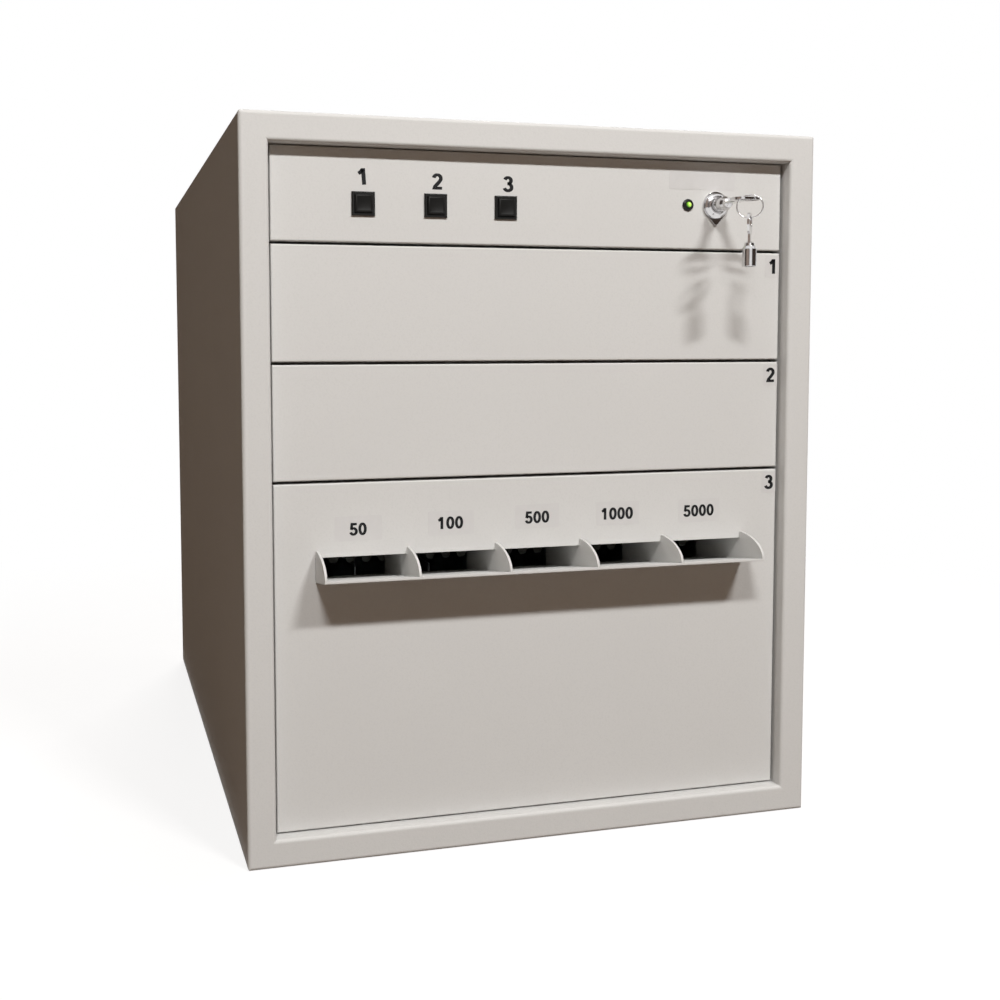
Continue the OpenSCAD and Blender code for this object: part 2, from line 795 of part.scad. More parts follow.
module lock_nut() color(ZINC)
    along_y(face_y + panel_t, face_y + panel_t + 4) translate(lock_at) difference() {
        circle(d = lock_d + 7, $fn = 6);
        circle(d = lock_d + 0.1);
    }

// Plug that the key turns, with a centre pin in front and a cam behind
module lock_plug() color(CHROME) {
    turned(lock_at) polygon([[0, lock_back + 1 + cam_t], [0, face_y - 4.5], [pin_r - 0.5, face_y - 4.5],
        [pin_r, face_y - 4], [pin_r, plug_face], [plug_r, plug_face], [plug_r, lock_back],
        [3.5, lock_back], [3.5, lock_back + 1 + cam_t]]);
    along_y(lock_back + 1, lock_back + 1 + cam_t) translate(lock_at) {
        circle(4.5);
        rect([0, -1.5], [6.6, 1.5]);
    }
}

// Contact block clipped on the key switch's rear, hollow for the cam
module switch_block() color(BLACK) {
    turned(lock_at) polygon([[lock_d / 2 + 1.5, lock_back - 3], [lock_d / 2 + 1.5, lock_back + 10],
        [0, lock_back + 10], [0, lock_back + 5], [7.4, lock_back + 5], [7.4, lock_back],
        [lock_d / 2 + 0.02, lock_back], [lock_d / 2 + 0.02, lock_back - 3]]);
    for (x = [-5, 5])
        translate([lock_at[0] + x, 0, lock_at[1]])
            block([-0.4, lock_back + 9.9, -2.4], [0.4, lock_back + 16, 2.4]);
}

// Tubular key along +Z with its open tip at the origin and its flat bow above
module tubular_key(barrel, neck) {
    shoulder = barrel + shoulder_l;
    bow_low = shoulder + neck;
    rotate_extrude() polygon([[key_bore / 2, 0], [barrel_d / 2 - 0.4, 0], [barrel_d / 2, 0.4],
        [barrel_d / 2, barrel], [neck_r + 0.6, barrel + shoulder_l / 2], [neck_r, shoulder],
        [blade_t / 2, shoulder + 1.5], [0, shoulder + 1.5], [0, barrel - 2], [key_bore / 2, barrel - 2]]);
    translate([0, blade_t / 2, 0]) rotate([90, 0, 0]) linear_extrude(blade_t) difference() {
        union() {
            rect([-neck_r, shoulder - 1], [neck_r, bow_low + 3]);
            translate([0, bow_low + bow_l / 2]) round_rect(bow_w, bow_l, bow_r);
        }
        translate([0, bow_low + bow_l - bar_w - slot_l / 2]) round_rect(slot_w, slot_l, slot_r);
    }
}

module key() color(CHROME)
    translate([lock_at[0], key_tip, lock_at[1]]) rotate([90, 0, 0]) tubular_key(barrel_l, neck_l);

// Wire ring of two half circles joined by straight stretches, upright over the bow's bar
module key_ring() color(CHROME) {
    r = ring_h / 2;
    translate([ring_at[0], ring_at[1], ring_low + r]) rotate([90, 0, ring_yaw]) {
        for (s = [0, 180])
            rotate(s) translate([ring_flat / 2, 0, 0]) rotate(-90)
                rotate_extrude(angle = 180) translate([r, 0]) circle(d = wire_d, $fn = 16);
        for (s = [-1, 1])
            translate([-ring_flat / 2, s * r, 0]) rotate([0, 90, 0])
                cylinder(d = wire_d, h = ring_flat, $fn = 16);
    }
}

// Spare key that hangs upright from the ring's lower side, its blade square to the wire
module spare_key() color(CHROME)
    translate([ring_at[0], ring_at[1], spare_tip]) rotate([0, 0, ring_yaw + 90])
        tubular_key(spare_barrel_l, spare_neck_l);

// Solenoid locks behind the drawers, each on a folded stand
module lock_brackets() color(ZINC)
    for (z = BAY_FLOOR) {
        top = z + bolt_z - coil_h / 2;
        along_x(coil_x, coil_x + coil_w) {
            rect([bolt_y - coil_d / 2, z], [bolt_y + coil_d / 2 + 12, z + sheet]);
            rect([bolt_y + coil_d / 2 - sheet, z], [bolt_y + coil_d / 2, top]);
            rect([bolt_y - coil_d / 2, top - sheet], [bolt_y + coil_d / 2, top]);
        }
    }

module lock_solenoids() color([0.12, 0.13, 0.15])
    for (z = BAY_FLOOR)
        translate([coil_x, bolt_y, z + bolt_z]) difference() {
            union() {
                block([0, -coil_d / 2, -coil_h / 2], [sheet, coil_d / 2, coil_h / 2]);
                block([coil_w - sheet, -coil_d / 2, -coil_h / 2], [coil_w, coil_d / 2, coil_h / 2]);
                block([0, -coil_d / 2, -coil_h / 2], [coil_w, coil_d / 2, -coil_h / 2 + sheet]);
                rotate([0, 90, 0]) cylinder(r = coil_r, h = coil_w);
            }
            translate([-past, 0, 0]) rotate([0, 90, 0])
                cylinder(d = bolt_d + 2 * running, h = coil_w + 2 * past);
        }

// Lock bolt, drawn back, with a head behind the coil
module latch_bolt(k) color(CHROME)
    translate([coil_x - 2, bolt_y, BAY_FLOOR[k] + bolt_z]) rotate([0, 90, 0]) {
        translate([0, 0, 0.8]) cylinder(d = bolt_d, h = coil_w + bolt_throw + 4);
        cylinder(d1 = bolt_d - 1.6, d2 = bolt_d, h = 0.8);
        translate([0, 0, coil_w + bolt_throw + 3]) cylinder(d = bolt_d + 5, h = 2.5);
    }
module latch_bolt_1() latch_bolt(0);
module latch_bolt_2() latch_bolt(1);
module latch_bolt_3() latch_bolt(2);

// Angle on a drawer's back with the hole that the bolt enters
module strike(k) color(ZINC) difference() {
    union() {
        block([strike_x, tray_back, BAY_FLOOR[k] + bolt_z - 12],
            [strike_x + strike_t, tray_back + strike_reach, BAY_FLOOR[k] + bolt_z + 12]);
        block([strike_x - 20, tray_back, BAY_FLOOR[k] + bolt_z - 12],
            [strike_x + strike_t, tray_back + strike_t, BAY_FLOOR[k] + bolt_z + 12]);
    }
    translate([strike_x - past, bolt_y, BAY_FLOOR[k] + bolt_z]) rotate([0, 90, 0])
        cylinder(d = bolt_d + 1, h = strike_t + 2 * past);
}
module strike_1() strike(0);
module strike_2() strike(1);
module strike_3() strike(2);

// Cable gland through the back panel, with no cable in it
module cable_gland() color(BLACK) turned(gland_at)
    polygon([[gland_bore / 2, back_y - 12], [gland_bore / 2, back_y + 16], [gland_d / 2 - 4, back_y + 18],
        [gland_d / 2 - 1, back_y + 14], [gland_d / 2 + 2, back_y + 6], [gland_d / 2 + 2, back_y],
        [gland_d / 2, back_y], [gland_d / 2, back_y - 12]]);

module gland_nut() color(BLACK)
    along_y(back_y - sheet - 5, back_y - sheet) translate(gland_at) difference() {
        circle(d = gland_d + 8, $fn = 6);
        circle(d = gland_d + 0.1);
    }

// Places of the stand-offs under the controller board, on the upper partition
module board_corners() {
    for (x = [-1, 1], y = [-1, 1])
        translate([board_at[0] + x * (board_w / 2 - board_margin),
            board_at[1] + y * (board_d / 2 - board_margin), control_floor]) children();
}

module board_standoffs() color(ZINC) board_corners() cylinder(d = standoff_d, h = standoff_h, $fn = 6);

// Board with a row of relays, capacitors, a processor and a row of terminals
module controller_board() color([0.05, 0.3, 0.15])
    translate([board_at[0], board_at[1], control_floor + standoff_h]) {
        block([-board_w / 2, -board_d / 2, 0], [board_w / 2, board_d / 2, board_t]);
        for (i = [0 : 3])
            translate([-board_w * 0.4 + i * relay_pitch, board_d * 0.18, board_t / 2])
                cube([relay_pitch * 0.7, relay_pitch * 0.9, relay_h + board_t / 2]);
        for (i = [1 : 3])
            translate([board_w / 2 - i * capacitor_d * 1.2, -board_d / 5, board_t / 2])
                cylinder(d = capacitor_d, h = capacitor_h + board_t / 2);
        translate([-chip_w * 1.5, -chip_w, board_t / 2]) cube([chip_w, chip_w, 4]);
        translate([5 - board_w / 2, 4 - board_d / 2, board_t / 2])
            cube([terminals_w, terminals_d, terminals_h + board_t / 2]);
    }

// Metal case with a vented lid and an open shelf for its terminals
module power_supply() color([0.7, 0.71, 0.72])
    translate([supply_at[0], supply_at[1], control_floor]) difference() {
        block([-supply_w / 2, -supply_d / 2, 0], [supply_w / 2, supply_d / 2, supply_h]);
        for (y = [34 : 16 : supply_d - 20])
            translate([0, y - supply_d / 2, supply_h]) cube([vent_w, 6, 2], center = true);
        block([-supply_w / 2 + 4, -supply_d / 2 - past, supply_h / 2],
            [supply_w / 2 - 4, -supply_d / 2 + 16, supply_h + past]);
    }

// Sealed battery with a stepped lid and two blade terminals
module backup_battery() color([0.1, 0.1, 0.12])
    translate([battery_at[0], battery_at[1], control_floor]) {
        block([-battery_w / 2, -battery_d / 2, 0],
            [battery_w / 2, battery_d / 2, battery_h - 2 * terminal_h]);
        block([-battery_w / 2 + 4, -battery_d / 2 + 3, 0],
            [battery_w / 2 - 4, battery_d / 2 - 3, battery_h - terminal_h]);
        for (x = [-1, 1])
            translate([x * (battery_w / 2 - 14), battery_d / 2 - 12, battery_h - terminal_h - 1])
                cube([0.8, 6, terminal_h + 1]);
    }

// Bent strap that holds the battery down on the partition
module battery_strap() color(ZINC) {
    reach = battery_d / 2 + seat;
    high = battery_h - terminal_h + seat;
    translate([battery_at[0], battery_at[1], control_floor]) along_x(-strap_w / 2, strap_w / 2) {
        for (s = [0, 1]) mirror([s, 0]) {
            rect([reach, 0], [reach + sheet, high + sheet]);
            rect([reach, 0], [reach + sheet + strap_foot, sheet]);
        }
        rect([-reach - sheet, high], [reach + sheet, high + sheet]);
    }
}

body_wrap();
front_frame();
back_panel();
back_screws();
partitions();
slide_brackets();
slides_outer();
lock_brackets();
lock_solenoids();
cable_gland();
gland_nut();
control_panel();
panel_screws();
button_housings();
lamp_holder();
lamp_lens();
lamp_nut();
lock_escutcheon();
lock_body();
lock_nut();
switch_block();
controller_board();
board_standoffs();
power_supply();
backup_battery();
battery_strap();
button_cap_1();
button_cap_2();
button_cap_3();
lock_plug();
key();
key_ring();
spare_key();
latch_bolt_1();
latch_bolt_2();
latch_bolt_3();
slides_middle_1();
slides_middle_2();
slides_middle_3();
drawer_front_1();
tray_1();
tray_dividers_1();
slides_inner_1();
strike_1();
drawer_front_2();
tray_2();
tray_dividers_2();
slides_inner_2();
strike_2();
drawer_front_3();
cash_bin();
bin_dividers();
slides_inner_3();
strike_3();
deposit_chute();
throat_hood();
anti_fishing_comb();
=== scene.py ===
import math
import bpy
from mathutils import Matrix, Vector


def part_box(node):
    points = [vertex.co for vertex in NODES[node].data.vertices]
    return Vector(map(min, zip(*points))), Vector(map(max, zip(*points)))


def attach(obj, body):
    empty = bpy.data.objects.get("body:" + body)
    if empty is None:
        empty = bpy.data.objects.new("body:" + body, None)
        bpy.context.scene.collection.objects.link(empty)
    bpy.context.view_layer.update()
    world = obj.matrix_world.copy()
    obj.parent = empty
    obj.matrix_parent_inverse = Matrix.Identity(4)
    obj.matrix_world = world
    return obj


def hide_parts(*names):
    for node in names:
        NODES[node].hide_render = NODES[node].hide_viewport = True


bl_info = {
    "name": "Time Delay Safe",
    "version": (1, 0, 0),
    "blender": (4, 5, 0),
    "location": "3D View > Sidebar > Safe",
    "description": "Finishes, lettering, small fasteners and a studio for a time delay safe",
    "category": "Object",
}

import bmesh
import bpy
from bpy.props import FloatProperty, FloatVectorProperty, PointerProperty
from mathutils import Matrix, Vector

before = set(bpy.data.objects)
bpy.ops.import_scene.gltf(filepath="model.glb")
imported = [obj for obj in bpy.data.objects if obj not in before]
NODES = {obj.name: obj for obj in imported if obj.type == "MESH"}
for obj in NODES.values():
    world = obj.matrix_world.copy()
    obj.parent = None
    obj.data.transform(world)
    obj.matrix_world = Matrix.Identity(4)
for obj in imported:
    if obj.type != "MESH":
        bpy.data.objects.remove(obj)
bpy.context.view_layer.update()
MM = 0.001

# Solids that have their finish, or that a finer piece stands for
FINISHED = set()

# Plane of the panels' faces, taken from the solids
FACE_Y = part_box("drawer_front_2")[0].y
PANEL_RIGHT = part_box("drawer_front_2")[1].x

PAINTED = [
    "body_wrap", "front_frame", "back_panel", "partitions", "control_panel",
    "drawer_front_1", "drawer_front_2", "drawer_front_3", "deposit_chute", "throat_hood",
]
GALVANISED = [
    "slide_brackets", "tray_1", "tray_2", "tray_dividers_1", "tray_dividers_2", "cash_bin",
    "bin_dividers", "lock_brackets", "battery_strap", "strike_1", "strike_2", "strike_3",
]
PLATED = [
    "slides_outer", "slides_middle_1", "slides_middle_2", "slides_middle_3", "slides_inner_1",
    "slides_inner_2", "slides_inner_3", "lock_nut", "lamp_nut", "board_standoffs",
]
CHROMED = [
    "lock_escutcheon", "lock_body", "lock_plug", "key", "key_ring", "spare_key",
    "latch_bolt_1", "latch_bolt_2", "latch_bolt_3",
]
MOULDED = ["lamp_holder", "switch_block", "gland_nut"]

# Pan-head screws
HEAD_R, HEAD_H = 4 * MM, 2.2 * MM
THREAD_R, CORE_R, THREAD_PITCH = 2.0 * MM, 1.75 * MM, 0.7 * MM
RECESS_AT, RECESS_SIZE = 2.17 * MM, (3.6 * MM, 0.8 * MM, 0.1 * MM)

# Cable gland
GLAND_BORE_R, GLAND_PITCH, GLAND_RIBS, GLAND_RIB_DEPTH = 4.25 * MM, 1.5 * MM, 12, 0.03

# Numbers over the buttons, in mm from the middle of a cap's upper edge, with their tilt in degrees
BUTTON_NUMBERS = [(-1.0, 14.2, 4.0), (1.7, 12.3, 0.0), (2.2, 12.1, 0.0)]
BUTTON_STRETCH = 1.06

# Numbers over the slots: the number's place and its label's place in mm, and their tilt in degrees
SLOT_NUMBERS = [
    ("50", (-156.0, 270.5), (-155.6, 271.2), 0.4),
    ("100", (-77.8, 272.5), (-77.2, 272.4), 0.2),
    ("500", (-1.6, 274.2), (-1.4, 275.0), 0.8),
    ("1000", (71.6, 274.5), (72.3, 274.8), 0.0),
    ("5000", (148.8, 274.2), (149.3, 274.4), 1.0),
]
SLOT_LABEL = (39.5 * MM, 20.5 * MM)
DRAWER_LABEL = (13.6 * MM, 19 * MM)
CONTROL_LABEL, CONTROL_LABEL_AT = (62 * MM, 18 * MM), (148.5 * MM, 561 * MM)


def colour_property(name, description, default):
    return FloatVectorProperty(
        name=name, description=description, default=default, size=3, min=0, max=1, subtype="COLOR"
    )


def length_property(name, description, default):
    return FloatProperty(
        name=name, description=description, default=default, min=0, unit="LENGTH", subtype="DISTANCE"
    )


class SafeFinishes(bpy.types.PropertyGroup):
    """Colours and surface sizes of the safe's finishes."""

    paint: colour_property("Paint", "Colour of the powder coat", (0.65, 0.65, 0.64))
    paint_roughness: FloatProperty(
        name="Paint roughness", description="Roughness of the powder coat",
        default=0.56, min=0, max=1, subtype="FACTOR",
    )
    grain: length_property("Grain", "Size of the powder coat's grain", 1.5 * MM)
    grain_depth: length_property("Grain depth", "Depth of the powder coat's grain", 0.09 * MM)
    edge: length_property("Edge radius", "Radius that the sheet's edges show", 0.8 * MM)
    zinc: colour_property("Zinc", "Colour of the galvanised sheet", (0.50, 0.52, 0.54))
    plate: colour_property("Plating", "Colour of the plated slides and nuts", (0.62, 0.62, 0.60))
    chrome: colour_property("Chrome", "Colour of the chromed parts", (0.66, 0.65, 0.65))
    plastic: colour_property("Plastic", "Colour of the black plastic", (0.009, 0.0088, 0.0082))
    lens: colour_property("Lens", "Colour of the lit lens", (0.28, 0.72, 0.02))
    # Darker than the comb's light plastic: painted shade of the deep slots it sits in
    comb: colour_property("Comb", "Colour of the anti-fishing comb", (0.13, 0.135, 0.12))


class SafeLettering(bpy.types.PropertyGroup):
    """Sizes and colours of the numbers and their film labels."""

    button_height: length_property("Button numbers", "Height of the numbers over the buttons", 13 * MM)
    drawer_height: length_property("Drawer numbers", "Height of the drawers' numbers", 12.8 * MM)
    slot_height: length_property("Slot numbers", "Height of the numbers over the slots", 10.5 * MM)
    ink: colour_property("Ink", "Colour of the numbers", (0.004, 0.004, 0.005))
    film: colour_property("Film", "Colour of the film labels", (0.62, 0.615, 0.61))
    film_t: length_property("Film thickness", "Thickness of the film labels", 0.12 * MM)
    ink_t: length_property("Ink thickness", "Thickness of the numbers", 0.06 * MM)


class SafeStage(bpy.types.PropertyGroup):
    """Light and floor of the studio."""

    floor: colour_property("Floor", "Colour that the floor lends to the object", (0.16, 0.115, 0.085))
    dark: colour_property(
        "Dark", "Colour of the dark room that polished metal mirrors", (0.045, 0.032, 0.026)
    )
    wall: colour_property("Wall", "Colour of the room's lighter wall", (0.34, 0.27, 0.235))
    ambient: colour_property("Ambient", "Colour of the light from all round", (1.0, 0.78, 0.60))
    ambient_level: FloatProperty(
        name="Ambient level", description="Strength of the light from all round",
        default=0.155, min=0, max=5,
    )
    lamp_power: FloatProperty(
        name="Lamp power", description="Power of each front lamp",
        default=67, min=0, max=500, unit="POWER",
    )
    back_power: FloatProperty(
        name="Back lamp power", description="Power of the lamp behind the safe",
        default=60, min=0, max=500, unit="POWER",
    )
    lamp_w: length_property("Lamp width", "Width of each front lamp", 0.62)
    lamp_h: length_property("Lamp height", "Height of each front lamp", 0.16)


class Value:
    """A shader socket that adds a Math node for every sum or product it is used in."""

    def __init__(self, graph, socket):
        self.graph, self.socket = graph, socket

    def math(self, operation, a, b):
        return self.graph.node("ShaderNodeMath", {"operation": operation}, {0: a, 1: b})

    def __add__(self, other):
        return self.math("ADD", self, other)

    def __radd__(self, other):
        return self.math("ADD", other, self)

    def __mul__(self, other):
        return self.math("MULTIPLY", self, other)

    def __rmul__(self, other):
        return self.math("MULTIPLY", other, self)


class Graph:
    """The node graph of a material or of the world."""

    def __init__(self, owner):
        self.owner = owner
        owner.use_nodes = True
        self.tree = owner.node_tree
        self.tree.nodes.clear()

    def node(self, kind, settings=None, inputs=None, output=0):
        """Adds a node, sets it up, fills its inputs and returns one of its outputs."""
        node = self.tree.nodes.new(kind)
        for name, value in (settings or {}).items():
            setattr(node, name, value)
        for key, value in (inputs or {}).items():
            if isinstance(value, Value):
                self.tree.links.new(value.socket, node.inputs[key])
            elif node.inputs[key].type == "RGBA" and len(value) == 3:
                node.inputs[key].default_value = (*value, 1)
            else:
                node.inputs[key].default_value = value
        return Value(self, node.outputs[output]) if node.outputs else None

    def place(self, centre=(0, 0, 0), scale=(1, 1, 1)):
        """The object's own coordinates, centred and stretched."""
        coords = self.node("ShaderNodeTexCoord", output="Object")
        if centre == (0, 0, 0) and scale == (1, 1, 1):
            return coords
        offset = tuple(-c * s for c, s in zip(centre, scale))
        return self.node(
            "ShaderNodeMapping", {}, {"Vector": coords, "Location": offset, "Scale": scale}
        )

    def noise(self, place, size, detail=2.0, roughness=0.5):
        """Noise whose features are about as wide as size, in metres."""
        return self.node(
            "ShaderNodeTexNoise", {},
            {"Vector": place, "Scale": 1 / size, "Detail": detail, "Roughness": roughness},
        )

    def between(self, value, low, high, to_low=0.0, to_high=1.0):
        """Moves a value from one range to another and clamps it there."""
        return self.node(
            "ShaderNodeMapRange", {"clamp": True},
            {"Value": value, 1: low, 2: high, 3: to_low, 4: to_high},
        )

    def blend(self, factor, a, b):
        """Mixes two colours."""
        return self.node("ShaderNodeMix", {"data_type": "RGBA"}, {0: factor, 6: a, 7: b}, output=2)

    def round_edges(self, radius):
        """The normal of a surface whose edges are rounded by radius."""
        return self.node("ShaderNodeBevel", {"samples": 4}, {"Radius": radius})

    def bump(self, height, depth, normal=None):
        """A normal that follows a height between 0 and 1, which is depth deep."""
        inputs = {"Height": height, "Distance": depth}
        if normal is not None:
            inputs["Normal"] = normal
        return self.node("ShaderNodeBump", {}, inputs)

    def surface(self, inputs):
        """Ends the graph in a Principled surface."""
        shader = self.node("ShaderNodeBsdfPrincipled", {}, inputs)
        self.node("ShaderNodeOutputMaterial", {}, {"Surface": shader})
        return self.owner


def shade(colour, factor):
    """A colour made darker or lighter."""
    return tuple(min(1.0, c * factor) for c in colour)


def powder_coat(name, finishes):
    """Fine-grained powder coat on folded steel."""
    graph = Graph(bpy.data.materials.new(name))
    place = graph.place()
    grain = graph.noise(place, finishes.grain, detail=3.0, roughness=0.6)
    peel = graph.noise(place, finishes.grain * 4, detail=1.0)
    cloud = graph.noise(place, 90 * MM, detail=3.0)
    height = grain * 0.7 + peel * 0.3
    tone = graph.blend(cloud, shade(finishes.paint, 0.98), shade(finishes.paint, 1.02))
    # Darker where the grain sinks: painted shade in the grain's pits
    painted_pit_shade = graph.between(grain, 0.30, 0.52)
    colour = graph.blend(painted_pit_shade, shade(finishes.paint, 0.965), tone)
    normal = graph.bump(height, finishes.grain_depth, graph.round_edges(finishes.edge))
    middle = finishes.paint_roughness
    rough = graph.between(grain, 0.3, 0.7, middle + 0.06, middle - 0.05)
    return graph.surface({
        "Base Color": colour, "Roughness": rough, "Specular IOR Level": 0.16, "Normal": normal,
    })


def galvanised(name, finishes):
    """Galvanised sheet with a faint spangle and rolling marks."""
    graph = Graph(bpy.data.materials.new(name))
    spangle = graph.node(
        "ShaderNodeTexVoronoi", {"feature": "F1"}, {"Vector": graph.place(), "Scale": 110.0},
        output="Color",
    )
    flake = graph.node("ShaderNodeSeparateColor", {}, {"Color": spangle})
    rolled = graph.noise(graph.place(scale=(1, 0.03, 1)), 1.2 * MM, detail=2.0)
    mottle = flake * 0.6 + rolled * 0.4
    colour = graph.blend(mottle, shade(finishes.zinc, 0.78), shade(finishes.zinc, 1.15))
    rough = graph.between(flake * 0.5 + rolled * 0.5, 0.2, 0.8, 0.30, 0.48)
    normal = graph.bump(rolled, 0.02 * MM, graph.round_edges(0.4 * MM))
    return graph.surface({"Base Color": colour, "Metallic": 1.0, "Roughness": rough, "Normal": normal})


def plated(name, finishes):
    """Bright zinc plating on drawn steel."""
    graph = Graph(bpy.data.materials.new(name))
    drawn = graph.noise(graph.place(scale=(1, 0.02, 1)), 0.7 * MM, detail=2.0)
    stain = graph.noise(graph.place(), 35 * MM, detail=3.0)
    colour = graph.blend(stain, shade(finishes.plate, 0.88), shade(finishes.plate, 1.08))
    rough = graph.between(drawn, 0.25, 0.75, 0.22, 0.38)
    normal = graph.bump(drawn, 0.012 * MM, graph.round_edges(0.3 * MM))
    return graph.surface({"Base Color": colour, "Metallic": 1.0, "Roughness": rough, "Normal": normal})


def chromed(name, finishes):
    """Polished chrome with handling marks."""
    graph = Graph(bpy.data.materials.new(name))
    scratch = graph.noise(graph.place(scale=(1, 0.15, 1)), 0.35 * MM, detail=3.0, roughness=0.7)
    smear = graph.noise(graph.place(), 6 * MM, detail=2.0)
    colour = graph.blend(smear, shade(finishes.chrome, 0.9), shade(finishes.chrome, 1.08))
    rough = graph.between(scratch * 0.5 + smear * 0.5, 0.3, 0.7, 0.09, 0.20)
    normal = graph.bump(scratch, 0.004 * MM, graph.round_edges(0.25 * MM))
    return graph.surface({"Base Color": colour, "Metallic": 1.0, "Roughness": rough, "Normal": normal})


def moulded_plastic(name, colour, roughness=0.36, grain=0.45 * MM, depth=0.012 * MM, specular=0.25):
    """Moulded plastic with a fine spark-eroded grain."""
    graph = Graph(bpy.data.materials.new(name))
    fine = graph.noise(graph.place(), grain, detail=2.0, roughness=0.6)
    dust = graph.noise(graph.place(), 9 * MM, detail=3.0)
    tone = graph.blend(dust, shade(colour, 0.85), shade(colour, 1.2))
    rough = graph.between(fine * 0.6 + dust * 0.4, 0.3, 0.7, roughness - 0.05, roughness + 0.08)
    normal = graph.bump(fine, depth, graph.round_edges(0.35 * MM))
    return graph.surface({
        "Base Color": tone, "Roughness": rough, "Specular IOR Level": specular, "Normal": normal,
    })


def lit_lens(name, finishes):
    """Clear lens that glows, brightest to the upper right of its middle and dark green at its rim; the
    set-off middle paints the holder lip's shade on the lower left of the rim.
    """
    graph = Graph(bpy.data.materials.new(name))
    low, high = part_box("lamp_lens")
    middle = (low + high) / 2
    # The glow's middle sits to the upper right, so its falloff paints the holder lip's shade as a dark
    # crescent at the lens's lower left
    place = graph.place(centre=(middle.x + 0.5 * MM, 0, middle.z + 0.4 * MM), scale=(1, 0, 1))
    away = graph.node("ShaderNodeVectorMath", {"operation": "LENGTH"}, {0: place}, output="Value")
    facets = graph.noise(graph.place(), 0.9 * MM, detail=1.0)
    glow = graph.between(away + facets * (0.8 * MM), 2.0 * MM, 3.3 * MM, 1.0, 0.0)
    hot = graph.between(away, 0.6 * MM, 2.3 * MM, 1.0, 0.0)
    lit = graph.blend(hot, tuple(finishes.lens), (0.72, 1.0, 0.17))
    emitted = graph.blend(glow, (0.004, 0.03, 0.002), lit)
    # Dark green rim: the lit LED's falloff, with painted shade of the holder's lip at the lower left
    return graph.surface({
        "Base Color": graph.blend(glow, (0.01, 0.05, 0.01), shade(finishes.lens, 0.5)),
        "Roughness": 0.12, "Coat Weight": 0.6, "Emission Color": emitted, "Emission Strength": 0.9,
        "Normal": graph.bump(facets, 0.02 * MM),
    })


def label_film(name, lettering):
    """Thin matt film, slightly smoother than the paint it is stuck on."""
    graph = Graph(bpy.data.materials.new(name))
    ripple = graph.noise(graph.place(), 5 * MM, detail=2.0)
    tone = graph.blend(ripple, shade(lettering.film, 0.97), shade(lettering.film, 1.03))
    rough = graph.between(ripple, 0.3, 0.7, 0.30, 0.40)
    normal = graph.bump(ripple, 0.05 * MM)
    return graph.surface({"Base Color": tone, "Roughness": rough, "Normal": normal})


def printed_ink(name, lettering):
    """Black print."""
    graph = Graph(bpy.data.materials.new(name))
    speckle = graph.noise(graph.place(), 0.5 * MM, detail=2.0)
    tone = graph.blend(speckle, shade(lettering.ink, 0.8), shade(lettering.ink, 1.5))
    rough = graph.between(speckle, 0.3, 0.7, 0.42, 0.56)
    return graph.surface({
        "Base Color": tone, "Roughness": rough, "Specular IOR Level": 0.25,
        "Normal": graph.bump(speckle, 0.01 * MM),
    })


def solder_mask(name):
    """Green solder mask over copper tracks."""
    graph = Graph(bpy.data.materials.new(name))
    tracks = graph.node(
        "ShaderNodeTexBrick", {"offset": 0.35},
        {
            "Vector": graph.place(), "Scale": 160.0, "Mortar Size": 0.12,
            "Brick Width": 1.4, "Row Height": 0.5,
        },
        output="Fac",
    )
    tone = graph.blend(tracks, (0.012, 0.10, 0.045), (0.03, 0.20, 0.08))
    normal = graph.bump(tracks, 0.03 * MM, graph.round_edges(0.2 * MM))
    return graph.surface({"Base Color": tone, "Roughness": 0.28, "Coat Weight": 0.4, "Normal": normal})


def coil_wrap(name):
    """Black tape over a coil, with its turns showing along X."""
    graph = Graph(bpy.data.materials.new(name))
    turns = graph.node(
        "ShaderNodeTexWave", {"wave_type": "BANDS", "bands_direction": "X"},
        {"Vector": graph.place(), "Scale": 110.0, "Distortion": 0.4}, output="Fac",
    )
    tone = graph.blend(turns, (0.012, 0.012, 0.014), (0.05, 0.05, 0.055))
    rough = graph.between(turns, 0.0, 1.0, 0.38, 0.56)
    return graph.surface({
        "Base Color": tone, "Roughness": rough, "Normal": graph.bump(turns, 0.08 * MM),
    })


def bare_aluminium(name):
    """Folded aluminium case."""
    graph = Graph(bpy.data.materials.new(name))
    brushed = graph.noise(graph.place(scale=(0.03, 1, 1)), 0.6 * MM, detail=2.0)
    tone = graph.blend(brushed, (0.52, 0.53, 0.54), (0.68, 0.69, 0.70))
    rough = graph.between(brushed, 0.3, 0.7, 0.34, 0.46)
    normal = graph.bump(brushed, 0.01 * MM, graph.round_edges(0.5 * MM))
    return graph.surface({"Base Color": tone, "Metallic": 1.0, "Roughness": rough, "Normal": normal})


def coat(names, material):
    """Gives solids of the frame a finish."""
    for name in names:
        mesh_object = NODES[name]
        if not mesh_object.material_slots:
            mesh_object.data.materials.append(material)
        for slot in mesh_object.material_slots:
            slot.material = material
        FINISHED.add(name)


def make_piece(bm, name, body, material):
    """Turns a bmesh into a piece that rides on a body of the frame."""
    bmesh.ops.remove_doubles(bm, verts=bm.verts, dist=1e-7)
    bmesh.ops.recalc_face_normals(bm, faces=bm.faces)
    for face in bm.faces:
        face.smooth = True
    for edge in bm.edges:
        edge.smooth = edge.is_manifold and edge.calc_face_angle(0) < math.radians(32)
    mesh = bpy.data.meshes.new(name)
    bm.to_mesh(mesh)
    bm.free()
    mesh.materials.append(material)
    piece = bpy.data.objects.new(name, mesh)
    bpy.context.scene.collection.objects.link(piece)
    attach(piece, body)
    return piece


def arc(cx, cy, rx, ry, start, end, steps=16):
    """Points of an arc from one angle to another, in degrees, clockwise when end is below start."""
    angles = [math.radians(start + (end - start) * i / steps) for i in range(steps + 1)]
    return [(cx + rx * math.cos(a), cy + ry * math.sin(a)) for a in angles]


